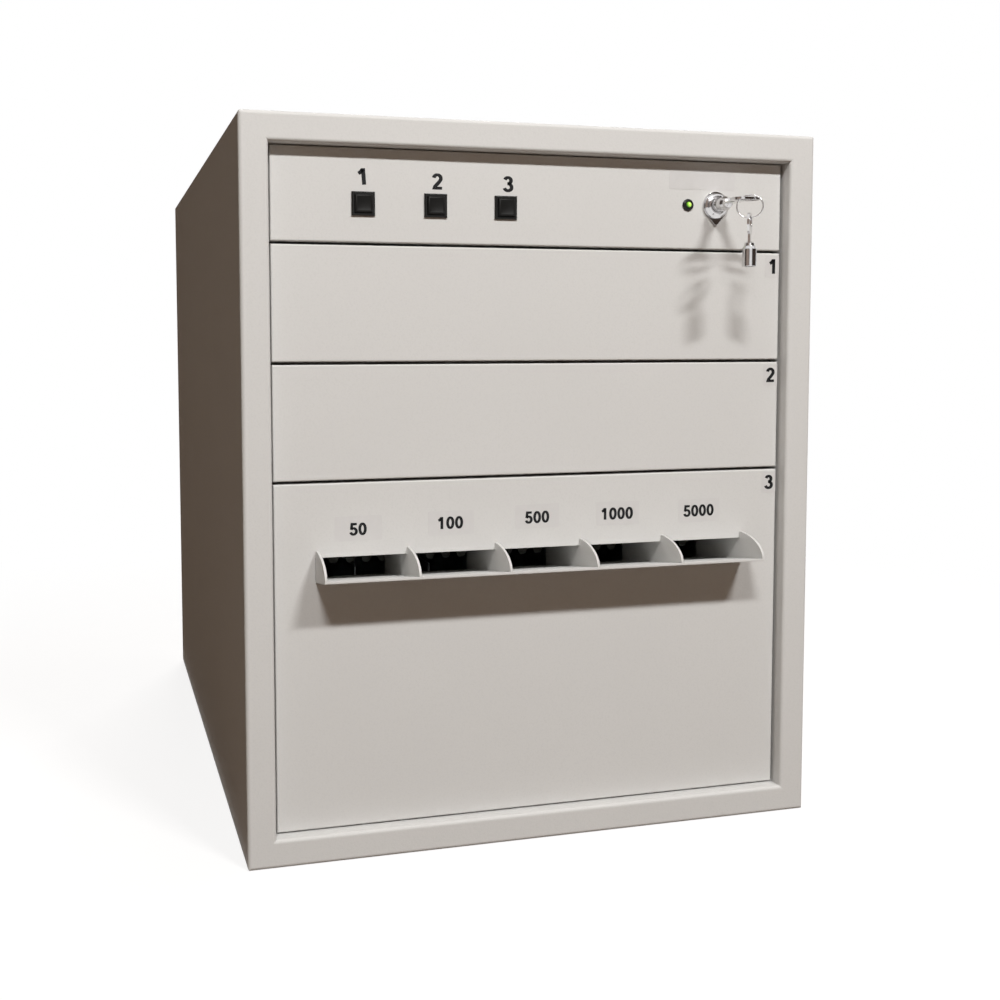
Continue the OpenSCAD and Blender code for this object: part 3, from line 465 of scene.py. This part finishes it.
# Middle lines of the digits' strokes, for a digit 1 high
DIGITS = {
    "0": [arc(0.325, 0.5, 0.233, 0.427, 90, 450, 36)],
    "1": [[(0.352, 0.0), (0.352, 1.0)], [(0.06, 0.695), (0.20, 0.78), (0.305, 0.92)]],
    "2": [
        arc(0.325, 0.70, 0.225, 0.228, 172, -28, 22)
        + [(0.40, 0.42), (0.17, 0.17), (0.13, 0.072), (0.63, 0.072)],
    ],
    "3": [
        arc(0.31, 0.728, 0.20, 0.195, 165, -98, 22),
        arc(0.31, 0.296, 0.24, 0.222, 100, -165, 24),
    ],
    "5": [
        [(0.60, 0.925), (0.185, 0.925), (0.135, 0.47)],
        arc(0.31, 0.325, 0.245, 0.255, 140, -165, 26),
    ],
}
# Widths of the upright and level strokes and the step from digit to digit, for a digit 1 high
STROKE, THIN_STROKE, ADVANCE = 0.24, 0.185, 0.75


def turn(bm, degrees, axis):
    """Turns a whole bmesh round an axis through the origin."""
    bmesh.ops.rotate(
        bm, verts=bm.verts, cent=(0, 0, 0), matrix=Matrix.Rotation(math.radians(degrees), 3, axis)
    )


def add_stroke(bm, path, offset, closed):
    """Adds a flat ribbon along a path, as wide as the stroke where it runs upright."""
    points = [Vector((x + offset, y)) for x, y in path]
    steps = len(points) - 1
    made = bmesh.ops.create_grid(bm, x_segments=steps, y_segments=1, size=1)["verts"]
    for vert in made:
        i = round((vert.co.x + 1) / 2 * steps)
        side = 1 if vert.co.y > 0 else -1
        before = points[i] - points[i - 1] if i else points[1] - points[0]
        after = points[i + 1] - points[i] if i < steps else before
        if closed and i in (0, steps):
            before, after = points[-1] - points[-2], points[1] - points[0]
        before, after = before.normalized(), after.normalized()
        along = (before + after).normalized()
        normal = Vector((-along.y, along.x))
        width = THIN_STROKE + (STROKE - THIN_STROKE) * abs(normal.x)
        mitre = min(1.5, 1 / max(0.4, along.dot(after)))
        vert.co = (points[i] + normal * side * mitre * width / 2).to_3d()


def lettering_bmesh(text, height, thickness, stretch=1.0):
    """Numbers of a given height, upright and facing the front, centred on the origin."""
    bm = bmesh.new()
    for place, digit in enumerate(text):
        for path in DIGITS[digit]:
            add_stroke(bm, path, place * ADVANCE, digit == "0")
    made = bmesh.ops.extrude_face_region(bm, geom=list(bm.faces))["geom"]
    tops = [v for v in made if isinstance(v, bmesh.types.BMVert)]
    bmesh.ops.translate(bm, verts=tops, vec=(0, 0, thickness / height))
    low = Vector(min(v.co[i] for v in bm.verts) for i in range(3))
    high = Vector(max(v.co[i] for v in bm.verts) for i in range(3))
    bmesh.ops.translate(bm, verts=bm.verts, vec=-(low + high) / 2)
    scale = height / (high.y - low.y)
    bmesh.ops.scale(bm, verts=bm.verts, vec=(scale * stretch, scale, height))
    turn(bm, 90, "X")
    return bm


def number(name, text, height, place, front, thickness, body, material, tilt=0.0, stretch=1.0):
    """A number whose front is at a given depth."""
    bm = lettering_bmesh(text, height, thickness, stretch)
    turn(bm, -tilt, "Y")
    bmesh.ops.translate(bm, verts=bm.verts, vec=(place[0], front + thickness / 2, place[1]))
    return make_piece(bm, name, body, material)


def film_label(name, place, size, thickness, body, material, tilt=0.0):
    """A film label with round corners, stuck on the panels' plane."""
    bm = bmesh.new()
    bmesh.ops.create_cube(bm, size=1)
    bmesh.ops.scale(bm, verts=bm.verts, vec=(size[0], thickness, size[1]))
    corners = [e for e in bm.edges if abs((e.verts[0].co - e.verts[1].co).normalized().y) > 0.9]
    bmesh.ops.bevel(
        bm, geom=corners, offset=1.2 * MM, offset_type="OFFSET", segments=4,
        profile=0.5, affect="EDGES", material=-1,
    )
    turn(bm, -tilt, "Y")
    bmesh.ops.translate(bm, verts=bm.verts, vec=(place[0], FACE_Y - thickness / 2, place[1]))
    return make_piece(bm, name, body, material)


def turned_bmesh(profile, steps=32):
    """A turned solid: an outline of radius against height, spun round Z."""
    bm = bmesh.new()
    verts = [bm.verts.new((radius, 0, height)) for radius, height in profile]
    for a, b in zip(verts, verts[1:]):
        bm.edges.new((a, b))
    bmesh.ops.spin(
        bm, geom=list(bm.verts) + list(bm.edges), cent=(0, 0, 0), axis=(0, 0, 1),
        angle=math.tau, steps=steps, use_merge=True, use_duplicate=False,
    )
    bmesh.ops.remove_doubles(bm, verts=bm.verts, dist=1e-7)
    return bm


def screw_bmesh(grip):
    """A pan-head screw along Z with a plain head and threads on its shank."""
    shank = [(0, -grip)]
    z = -grip
    while z < -THREAD_PITCH:
        shank += [(CORE_R, z), (THREAD_R, z + THREAD_PITCH / 2)]
        z += THREAD_PITCH
    shank += [(CORE_R, 0)]
    head = [
        (3.7 * MM, 0), (HEAD_R, 0.3 * MM), (3.9 * MM, 1.1 * MM), (3.3 * MM, 1.8 * MM),
        (2.2 * MM, 2.15 * MM), (1.7 * MM, HEAD_H), (0, HEAD_H),
    ]
    return turned_bmesh(shank + head, steps=24)


def recess_shade_bmesh():
    """A flat dark cross of painted shade that stands for a screw's recess, which lies in the top of its
    head.
    """
    bm = bmesh.new()
    for degrees in (0, 90):
        made = bmesh.ops.create_cube(bm, size=1)["verts"]
        bmesh.ops.scale(bm, verts=made, vec=RECESS_SIZE)
        bmesh.ops.rotate(
            bm, verts=made, cent=(0, 0, 0), matrix=Matrix.Rotation(math.radians(degrees), 3, "Z")
        )
    return bm


def join(into, other, matrix):
    """Adds a moved copy of one bmesh to another."""
    mesh = bpy.data.meshes.new("joined")
    other.to_mesh(mesh)
    mesh.transform(matrix)
    into.from_mesh(mesh)
    bpy.data.meshes.remove(mesh)


def scene_settings(context):
    """The finishes, the lettering and the stage of the scene."""
    scene = context.scene
    return scene.safe_finishes, scene.safe_lettering, scene.safe_stage


class SAFE_OT_cabinet(bpy.types.Operator):
    """Powder coat the cabinet, the panels and the deposit chute"""

    bl_idname = "safe.cabinet"
    bl_label = "Cabinet and panels"

    def execute(self, context):
        finishes = scene_settings(context)[0]
        coat(PAINTED, powder_coat("powder_coat", finishes))
        return {"FINISHED"}


class SAFE_OT_drawer_metal(bpy.types.Operator):
    """Finish the trays, the cash bin, the brackets and the slides"""

    bl_idname = "safe.drawer_metal"
    bl_label = "Trays, bin and slides"

    def execute(self, context):
        finishes = scene_settings(context)[0]
        coat(GALVANISED, galvanised("galvanised_sheet", finishes))
        coat(PLATED, plated("bright_plating", finishes))
        return {"FINISHED"}


class SAFE_OT_key_switch(bpy.types.Operator):
    """Chrome the key switch, the keys and their ring, and mark the key's place on the bezel"""

    bl_idname = "safe.key_switch"
    bl_label = "Key switch and keys"

    def execute(self, context):
        finishes, lettering, _ = scene_settings(context)
        coat(CHROMED, chromed("chrome", finishes))
        low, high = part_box("lock_body")
        middle = (low + high) / 2
        bm = bmesh.new()
        bmesh.ops.create_uvsphere(bm, u_segments=16, v_segments=8, radius=0.75 * MM)
        bmesh.ops.scale(bm, verts=bm.verts, vec=(1, 0.35, 1))
        dot = (middle.x + 2.2 * MM, low.y + 0.1 * MM, middle.z + 7.3 * MM)
        bmesh.ops.translate(bm, verts=bm.verts, vec=dot)
        paint = printed_ink("dot_paint", lettering)
        make_piece(bm, "key_switch_index_dot", "cabinet", paint)
        return {"FINISHED"}


class SAFE_OT_buttons(bpy.types.Operator):
    """Finish the three push-buttons"""

    bl_idname = "safe.buttons"
    bl_label = "Push-buttons"

    def execute(self, context):
        finishes = scene_settings(context)[0]
        coat(["button_housings"], moulded_plastic("bezel_plastic", finishes.plastic, 0.30))
        plastic = moulded_plastic(
            "cap_plastic", finishes.plastic, 0.42, grain=0.7 * MM, depth=0.02 * MM, specular=0.12,
        )
        for i in (1, 2, 3):
            low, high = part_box(f"button_cap_{i}")
            bm = bmesh.new()
            bmesh.ops.create_cube(bm, size=1)
            bmesh.ops.scale(bm, verts=bm.verts, vec=high - low)
            front = min(bm.faces, key=lambda face: face.calc_center_median().y)
            bmesh.ops.bevel(
                bm, geom=list(front.edges), offset=1.5 * MM, offset_type="OFFSET", segments=3,
                profile=0.5, affect="EDGES", material=-1,
            )
            front = min(bm.faces, key=lambda face: face.calc_center_median().y)
            bmesh.ops.inset_individual(bm, faces=[front], thickness=0.5 * MM, depth=-0.22 * MM)
            bmesh.ops.translate(bm, verts=bm.verts, vec=(low + high) / 2)
            cap = make_piece(bm, f"button_face_{i}", f"button_{i}", plastic)
            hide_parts(f"button_cap_{i}")
            FINISHED.add(f"button_cap_{i}")
        return {"FINISHED"}


class SAFE_OT_indicator(bpy.types.Operator):
    """Finish the indicator and light its lens"""

    bl_idname = "safe.indicator"
    bl_label = "Indicator"

    def execute(self, context):
        finishes = scene_settings(context)[0]
        coat(MOULDED, moulded_plastic("black_plastic", finishes.plastic))
        coat(["lamp_lens"], lit_lens("lit_lens", finishes))
        return {"FINISHED"}


class SAFE_OT_comb(bpy.types.Operator):
    """Finish the anti-fishing comb in a dark grey that paints the deep shade of the slots"""

    bl_idname = "safe.comb"
    bl_label = "Anti-fishing comb"

    def execute(self, context):
        finishes = scene_settings(context)[0]
        coat(["anti_fishing_comb"], moulded_plastic("comb_plastic", finishes.comb, 0.4))
        return {"FINISHED"}


class SAFE_OT_electronics(bpy.types.Operator):
    """Finish the board, the power supply, the battery and the solenoid locks"""

    bl_idname = "safe.electronics"
    bl_label = "Electronics and solenoids"

    def execute(self, context):
        coat(["controller_board"], solder_mask("solder_mask"))
        coat(["power_supply"], bare_aluminium("supply_case"))
        case = moulded_plastic("battery_case", (0.03, 0.03, 0.034), 0.5, grain=1.2 * MM)
        coat(["backup_battery"], case)
        coat(["lock_solenoids"], coil_wrap("coil_wrap"))
        return {"FINISHED"}


class SAFE_OT_screws(bpy.types.Operator):
    """Make the back panel's screws and the control panel's screws"""

    bl_idname = "safe.screws"
    bl_label = "Screws"

    def execute(self, context):
        finishes = scene_settings(context)[0]
        steel = plated("screw_plating", finishes)
        # Near-black material for the painted shade in the screws' recesses
        shadow = moulded_plastic("recess_shadow", (0.02, 0.02, 0.02), 0.6)
        low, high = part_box("back_screws")
        left, right = low.x + HEAD_R, high.x - HEAD_R
        bottom, top = low.z + HEAD_R, high.z - HEAD_R
        middle_z = (bottom + top) / 2
        seat_y = high.y - HEAD_H
        places = [(x, z) for x in (left, 0, right) for z in (bottom, top)]
        places += [(left, middle_z), (right, middle_z)]
        facing_back = Matrix.Rotation(math.radians(-90), 4, "X")
        self.make("back_screw_set", "back_screws", seat_y - low.y, steel, shadow, [
            Matrix.Translation((x, seat_y, z)) @ facing_back @ Matrix.Rotation(0.7 * i, 4, "Z")
            for i, (x, z) in enumerate(places)
        ])
        low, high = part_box("panel_screws")
        seat_z = high.z - HEAD_H
        middle_y = (low.y + high.y) / 2
        self.make("panel_screw_set", "panel_screws", seat_z - low.z, steel, shadow, [
            Matrix.Translation((x, middle_y, seat_z)) @ Matrix.Rotation(0.5 * i, 4, "Z")
            for i, x in enumerate((low.x + HEAD_R, 0, high.x - HEAD_R))
        ])
        return {"FINISHED"}

    def make(self, name, node, grip, steel, shadow, matrices):
        """Puts a screw at each place, as one piece for the steel and one for the painted shade of the
        recesses.
        """
        screw, recess = screw_bmesh(grip), recess_shade_bmesh()
        steel_bm, recess_shade_bm = bmesh.new(), bmesh.new()
        for matrix in matrices:
            join(steel_bm, screw, matrix)
            join(recess_shade_bm, recess, matrix @ Matrix.Translation((0, 0, RECESS_AT)))
        screw.free()
        recess.free()
        piece = make_piece(steel_bm, name, "cabinet", steel)
        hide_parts(node)
        make_piece(recess_shade_bm, name + "_recesses", "cabinet", shadow)
        FINISHED.add(node)


class SAFE_OT_cable_gland(bpy.types.Operator):
    """Make the cable gland with its round collar, its domed cap and its ribs"""

    bl_idname = "safe.cable_gland"
    bl_label = "Cable gland"

    def execute(self, context):
        finishes = scene_settings(context)[0]
        plastic = moulded_plastic("gland_plastic", shade(finishes.plastic, 1.4), 0.4)
        low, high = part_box("cable_gland")
        outer_r = (high.x - low.x) / 2
        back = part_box("back_panel")[1].y
        middle = (low + high) / 2
        thread_r, out = outer_r - 2 * MM, high.y - back
        profile = [(GLAND_BORE_R, low.y - back)]
        z = low.y - back
        while z < -GLAND_PITCH:
            profile += [(thread_r - 0.7 * MM, z), (thread_r, z + GLAND_PITCH / 2)]
            z += GLAND_PITCH
        profile += [
            (thread_r, 0), (outer_r, 0), (outer_r, 5 * MM), (outer_r - 1 * MM, 6 * MM),
            (outer_r - 1.2 * MM, 7 * MM), (outer_r - 0.9 * MM, 8 * MM),
            (outer_r - 1.4 * MM, out - 6 * MM), (outer_r - 2.6 * MM, out - 3 * MM),
            (outer_r - 4.4 * MM, out - 1 * MM),
            (GLAND_BORE_R + 1.2 * MM, out), (GLAND_BORE_R + 0.3 * MM, out - 0.4 * MM),
            (GLAND_BORE_R, out - 1.4 * MM), (GLAND_BORE_R, low.y - back),
        ]
        bm = turned_bmesh(profile, steps=48)
        for v in bm.verts:
            if 6.5 * MM < v.co.z < out - 4 * MM and v.co.xy.length > outer_r - 3 * MM:
                angle = math.atan2(v.co.y, v.co.x)
                v.co.xy *= 1 - GLAND_RIB_DEPTH * (0.5 + 0.5 * math.cos(GLAND_RIBS * angle))
        facing_back = Matrix.Rotation(math.radians(-90), 4, "X")
        matrix = Matrix.Translation((middle.x, back, middle.z)) @ facing_back
        bmesh.ops.transform(bm, matrix=matrix, verts=bm.verts)
        piece = make_piece(bm, "cable_gland_body", "cabinet", plastic)
        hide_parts("cable_gland")
        FINISHED.add("cable_gland")
        return {"FINISHED"}


class SAFE_OT_numbers(bpy.types.Operator):
    """Print the numbers over the buttons, on the drawers and over the slots"""

    bl_idname = "safe.numbers"
    bl_label = "Numbers and labels"

    def execute(self, context):
        lettering = scene_settings(context)[1]
        ink, film = printed_ink("printed_ink", lettering), label_film("label_film", lettering)
        print_front = FACE_Y - lettering.ink_t
        label_front = FACE_Y - lettering.film_t - lettering.ink_t
        for i, (x, z, tilt) in enumerate(BUTTON_NUMBERS):
            low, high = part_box(f"button_cap_{i + 1}")
            place = ((low.x + high.x) / 2 + x * MM, high.z + z * MM)
            number(
                f"button_number_{i + 1}", str(i + 1), lettering.button_height, place,
                print_front, lettering.ink_t, "cabinet", ink, tilt, BUTTON_STRETCH,
            )
        for i in range(3):
            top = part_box(f"drawer_front_{i + 1}")[1].z
            place = (PANEL_RIGHT - 7.2 * MM, top - 11.4 * MM)
            film_label(
                f"drawer_label_{i + 1}", place, DRAWER_LABEL, lettering.film_t, f"drawer_{i + 1}", film
            )
            number(
                f"drawer_number_{i + 1}", str(i + 1), lettering.drawer_height, place, label_front,
                lettering.ink_t, f"drawer_{i + 1}", ink,
            )
        for text, (x, z), (label_x, label_z), tilt in SLOT_NUMBERS:
            film_label(
                f"slot_label_{text}", (label_x * MM, label_z * MM), SLOT_LABEL,
                lettering.film_t, "drawer_3", film, tilt,
            )
            number(
                f"slot_number_{text}", text, lettering.slot_height, (x * MM, z * MM), label_front,
                lettering.ink_t, "drawer_3", ink, tilt,
            )
        film_label(
            "bare_control_label", CONTROL_LABEL_AT, CONTROL_LABEL, lettering.film_t, "cabinet", film
        )
        return {"FINISHED"}


class SAFE_OT_studio(bpy.types.Operator):
    """Set up the floor, the lamps, the world and the camera"""

    bl_idname = "safe.studio"
    bl_label = "Studio"

    def execute(self, context):
        stage = scene_settings(context)[2]
        self.floor(stage)
        self.room(stage)
        self.world(context, stage)
        size, target = (stage.lamp_w, stage.lamp_h), (0, FACE_Y, 0.35)
        left = self.lamp("lamp_left", (-0.72, FACE_Y - 2.4, 2.75), target, size, stage.lamp_power)
        self.keep_dark(left, "body_wrap")
        self.lamp("lamp_right", (0.88, FACE_Y - 2.4, 2.75), target, size, stage.lamp_power)
        self.lamp("lamp_back", (0.55, 3.0, 1.9), (0, 0.35, 0.3), (1.2, 0.8), stage.back_power)
        self.camera(context)
        context.scene.view_settings.view_transform = "Standard"
        return {"FINISHED"}

    def seen(self, graph):
        """1 for the rays that show the background itself: camera, glossy and see-through rays."""
        total = None
        for kind in ("Is Camera Ray", "Is Glossy Ray", "Is Transmission Ray"):
            ray = graph.node("ShaderNodeLightPath", output=kind)
            total = ray if total is None else total + ray
        return graph.between(total, 0, 1)

    def card(self, name, size, matrix, steps=1):
        """A flat piece of the stage."""
        bm = bmesh.new()
        bmesh.ops.create_grid(
            bm, x_segments=steps, y_segments=steps, size=0.5,
            matrix=matrix @ Matrix.Diagonal((*size, 1, 1)),
        )
        mesh = bpy.data.meshes.new(name)
        bm.to_mesh(mesh)
        bm.free()
        card = bpy.data.objects.new(name, mesh)
        bpy.context.scene.collection.objects.link(card)
        graph = Graph(bpy.data.materials.new(name))
        mesh.materials.append(graph.owner)
        return card, graph

    def floor(self, stage):
        """A floor that is white with a soft shadow, and lends the object little light."""
        _, graph = self.card("studio_floor", (12, 12), Matrix.Identity(4), steps=24)
        white_from, white_to = 0.55, 1.3
        place = graph.place()
        away = graph.node("ShaderNodeVectorMath", {"operation": "LENGTH"}, {0: place}, output="Value")
        speckle = graph.noise(place, 40 * MM, detail=3.0)
        lent = graph.node("ShaderNodeBsdfDiffuse", {}, {"Color": tuple(stage.floor)})
        tone = graph.blend(speckle, (0.24, 0.24, 0.24), (0.26, 0.26, 0.26))
        matt = graph.node("ShaderNodeBsdfDiffuse", {}, {"Color": tone})
        glow = graph.node("ShaderNodeEmission", {}, {"Color": (1, 1, 1), "Strength": 0.80})
        lit = graph.node("ShaderNodeAddShader", {}, {0: matt, 1: glow})
        white = graph.node("ShaderNodeEmission", {}, {"Color": (1, 1, 1), "Strength": 1.0})
        faded = graph.between(away, white_from, white_to)
        shown = graph.node("ShaderNodeMixShader", {}, {0: faded, 1: lit, 2: white})
        mixed = graph.node("ShaderNodeMixShader", {}, {0: self.seen(graph), 1: lent, 2: shown})
        graph.node("ShaderNodeOutputMaterial", {}, {"Surface": mixed})

    def room(self, stage):
        """Cards round the safe that only its shiny surfaces mirror: a dark room with a lighter wall."""
        upright = Matrix.Rotation(math.radians(90), 4, "X")
        sideways = Matrix.Rotation(math.radians(90), 4, "Z")
        cards = [
            ("room_front", (9, 4), Matrix.Translation((0.5, FACE_Y - 3.3, 1.9)) @ upright),
            ("room_right", (4, 4), Matrix.Translation((4.6, FACE_Y - 1.4, 1.9)) @ sideways @ upright),
            ("room_left", (7, 4), Matrix.Translation((-2.4, 0, 1.9)) @ sideways @ upright),
            ("room_back_left", (2.05, 4), Matrix.Translation((-1.4, 3.2, 1.9)) @ upright),
            ("room_floor_left", (2.1, 3.5), Matrix.Translation((-1.31, 1.4, 2 * MM))),
        ]
        for name, size, matrix in cards:
            card, graph = self.card(name, size, matrix)
            fold = graph.noise(graph.place(), 0.7, detail=2.0)
            tone = graph.blend(fold, shade(stage.dark, 0.5), shade(stage.dark, 1.7))
            if name == "room_front":
                x = graph.node("ShaderNodeSeparateXYZ", {}, {"Vector": graph.place()}, output="X")
                tone = graph.blend(graph.between(x, -1.7, -2.1), tone, tuple(stage.wall))
                window = graph.between(x, -1.5, -1.2) * graph.between(x, 1.2, 0.9)
                tone = graph.blend(window, tone, (1, 1, 1))
            if name == "room_left":
                y = graph.node("ShaderNodeSeparateXYZ", {}, {"Vector": graph.place()}, output="Y")
                tone = graph.blend(graph.between(y, -0.8, -1.4), tone, tuple(stage.wall))
            glow = graph.node("ShaderNodeEmission", {}, {"Color": tone, "Strength": 1.0})
            graph.node("ShaderNodeOutputMaterial", {}, {"Surface": glow})
            card.visible_camera = card.visible_diffuse = card.visible_shadow = False

    def world(self, context, stage):
        """Faint warm light from all round, shown as white."""
        world = bpy.data.worlds.new("studio_world")
        context.scene.world = world
        graph = Graph(world)
        light = graph.node(
            "ShaderNodeBackground", {}, {"Color": tuple(stage.ambient), "Strength": stage.ambient_level}
        )
        white = graph.node("ShaderNodeBackground", {}, {"Color": (1, 1, 1), "Strength": 1.0})
        mixed = graph.node("ShaderNodeMixShader", {}, {0: self.seen(graph), 1: light, 2: white})
        graph.node("ShaderNodeOutputWorld", {}, {"Surface": mixed})

    def lamp(self, name, place, target, size, power):
        """A rectangular lamp that faces its target."""
        data = bpy.data.lights.new(name, "AREA")
        data.shape, data.size, data.size_y = "RECTANGLE", *size
        data.energy, data.color = power, (1.0, 0.988, 0.975)
        lamp = bpy.data.objects.new(name, data)
        bpy.context.scene.collection.objects.link(lamp)
        lamp.location = Vector(place)
        lamp.rotation_euler = (Vector(target) - lamp.location).to_track_quat("-Z", "Y").to_euler()
        return lamp

    def keep_dark(self, lamp, node):
        """Keeps a lamp's light off one solid: the safe's left side is dark in the photographed room."""
        receivers = bpy.data.collections.new(f"{lamp.name}_receivers")
        receivers.objects.link(NODES[node])
        receivers.collection_objects[0].light_linking.link_state = "EXCLUDE"
        lamp.light_linking.receiver_collection = receivers

    def camera(self, context):
        """The photograph's camera, solved from the cabinet's corners."""
        data = bpy.data.cameras.new("camera")
        data.sensor_width, data.lens = 36, 44.963
        data.shift_x, data.shift_y = 0.0631, -0.0639
        camera = bpy.data.objects.new("camera", data)
        context.scene.collection.objects.link(camera)
        right, forward, up = (
            Matrix.Rotation(math.radians(4.11), 3, "X")
            @ Matrix.Rotation(math.radians(-0.15), 3, "Y")
            @ Matrix.Rotation(math.radians(15.63), 3, "Z")
        )
        matrix = Matrix((right, up, -forward)).transposed().to_4x4()
        matrix.translation = Vector((-0.365, -1.3243, 0.41825))
        camera.matrix_world = matrix
        context.scene.camera = camera


OPERATORS = [
    SAFE_OT_cabinet, SAFE_OT_drawer_metal, SAFE_OT_key_switch, SAFE_OT_buttons, SAFE_OT_indicator,
    SAFE_OT_comb, SAFE_OT_electronics, SAFE_OT_screws, SAFE_OT_cable_gland, SAFE_OT_numbers,
    SAFE_OT_studio,
]


class SAFE_PT_panel(bpy.types.Panel):
    """Lists the operators that build the safe's looks"""

    bl_idname = "SAFE_PT_panel"
    bl_label = "Time delay safe"
    bl_space_type = "VIEW_3D"
    bl_region_type = "UI"
    bl_category = "Safe"

    def draw(self, context):
        for operator in OPERATORS:
            self.layout.operator(operator.bl_idname)


CLASSES = [SafeFinishes, SafeLettering, SafeStage, *OPERATORS, SAFE_PT_panel]


def register():
    for cls in CLASSES:
        bpy.utils.register_class(cls)
    bpy.types.Scene.safe_finishes = PointerProperty(type=SafeFinishes)
    bpy.types.Scene.safe_lettering = PointerProperty(type=SafeLettering)
    bpy.types.Scene.safe_stage = PointerProperty(type=SafeStage)


def unregister():
    del bpy.types.Scene.safe_finishes
    del bpy.types.Scene.safe_lettering
    del bpy.types.Scene.safe_stage
    for cls in reversed(CLASSES):
        bpy.utils.unregister_class(cls)


def main():
    """Builds everything through the operators."""
    register()
    bpy.ops.safe.cabinet()
    bpy.ops.safe.drawer_metal()
    bpy.ops.safe.key_switch()
    bpy.ops.safe.buttons()
    bpy.ops.safe.indicator()
    bpy.ops.safe.comb()
    bpy.ops.safe.electronics()
    bpy.ops.safe.screws()
    bpy.ops.safe.cable_gland()
    bpy.ops.safe.numbers()
    bpy.ops.safe.studio()
    bare = sorted(set(NODES) - FINISHED)
    if bare:
        raise RuntimeError(f"solids without a finish: {bare}")


if __name__ == "__main__":
    main()
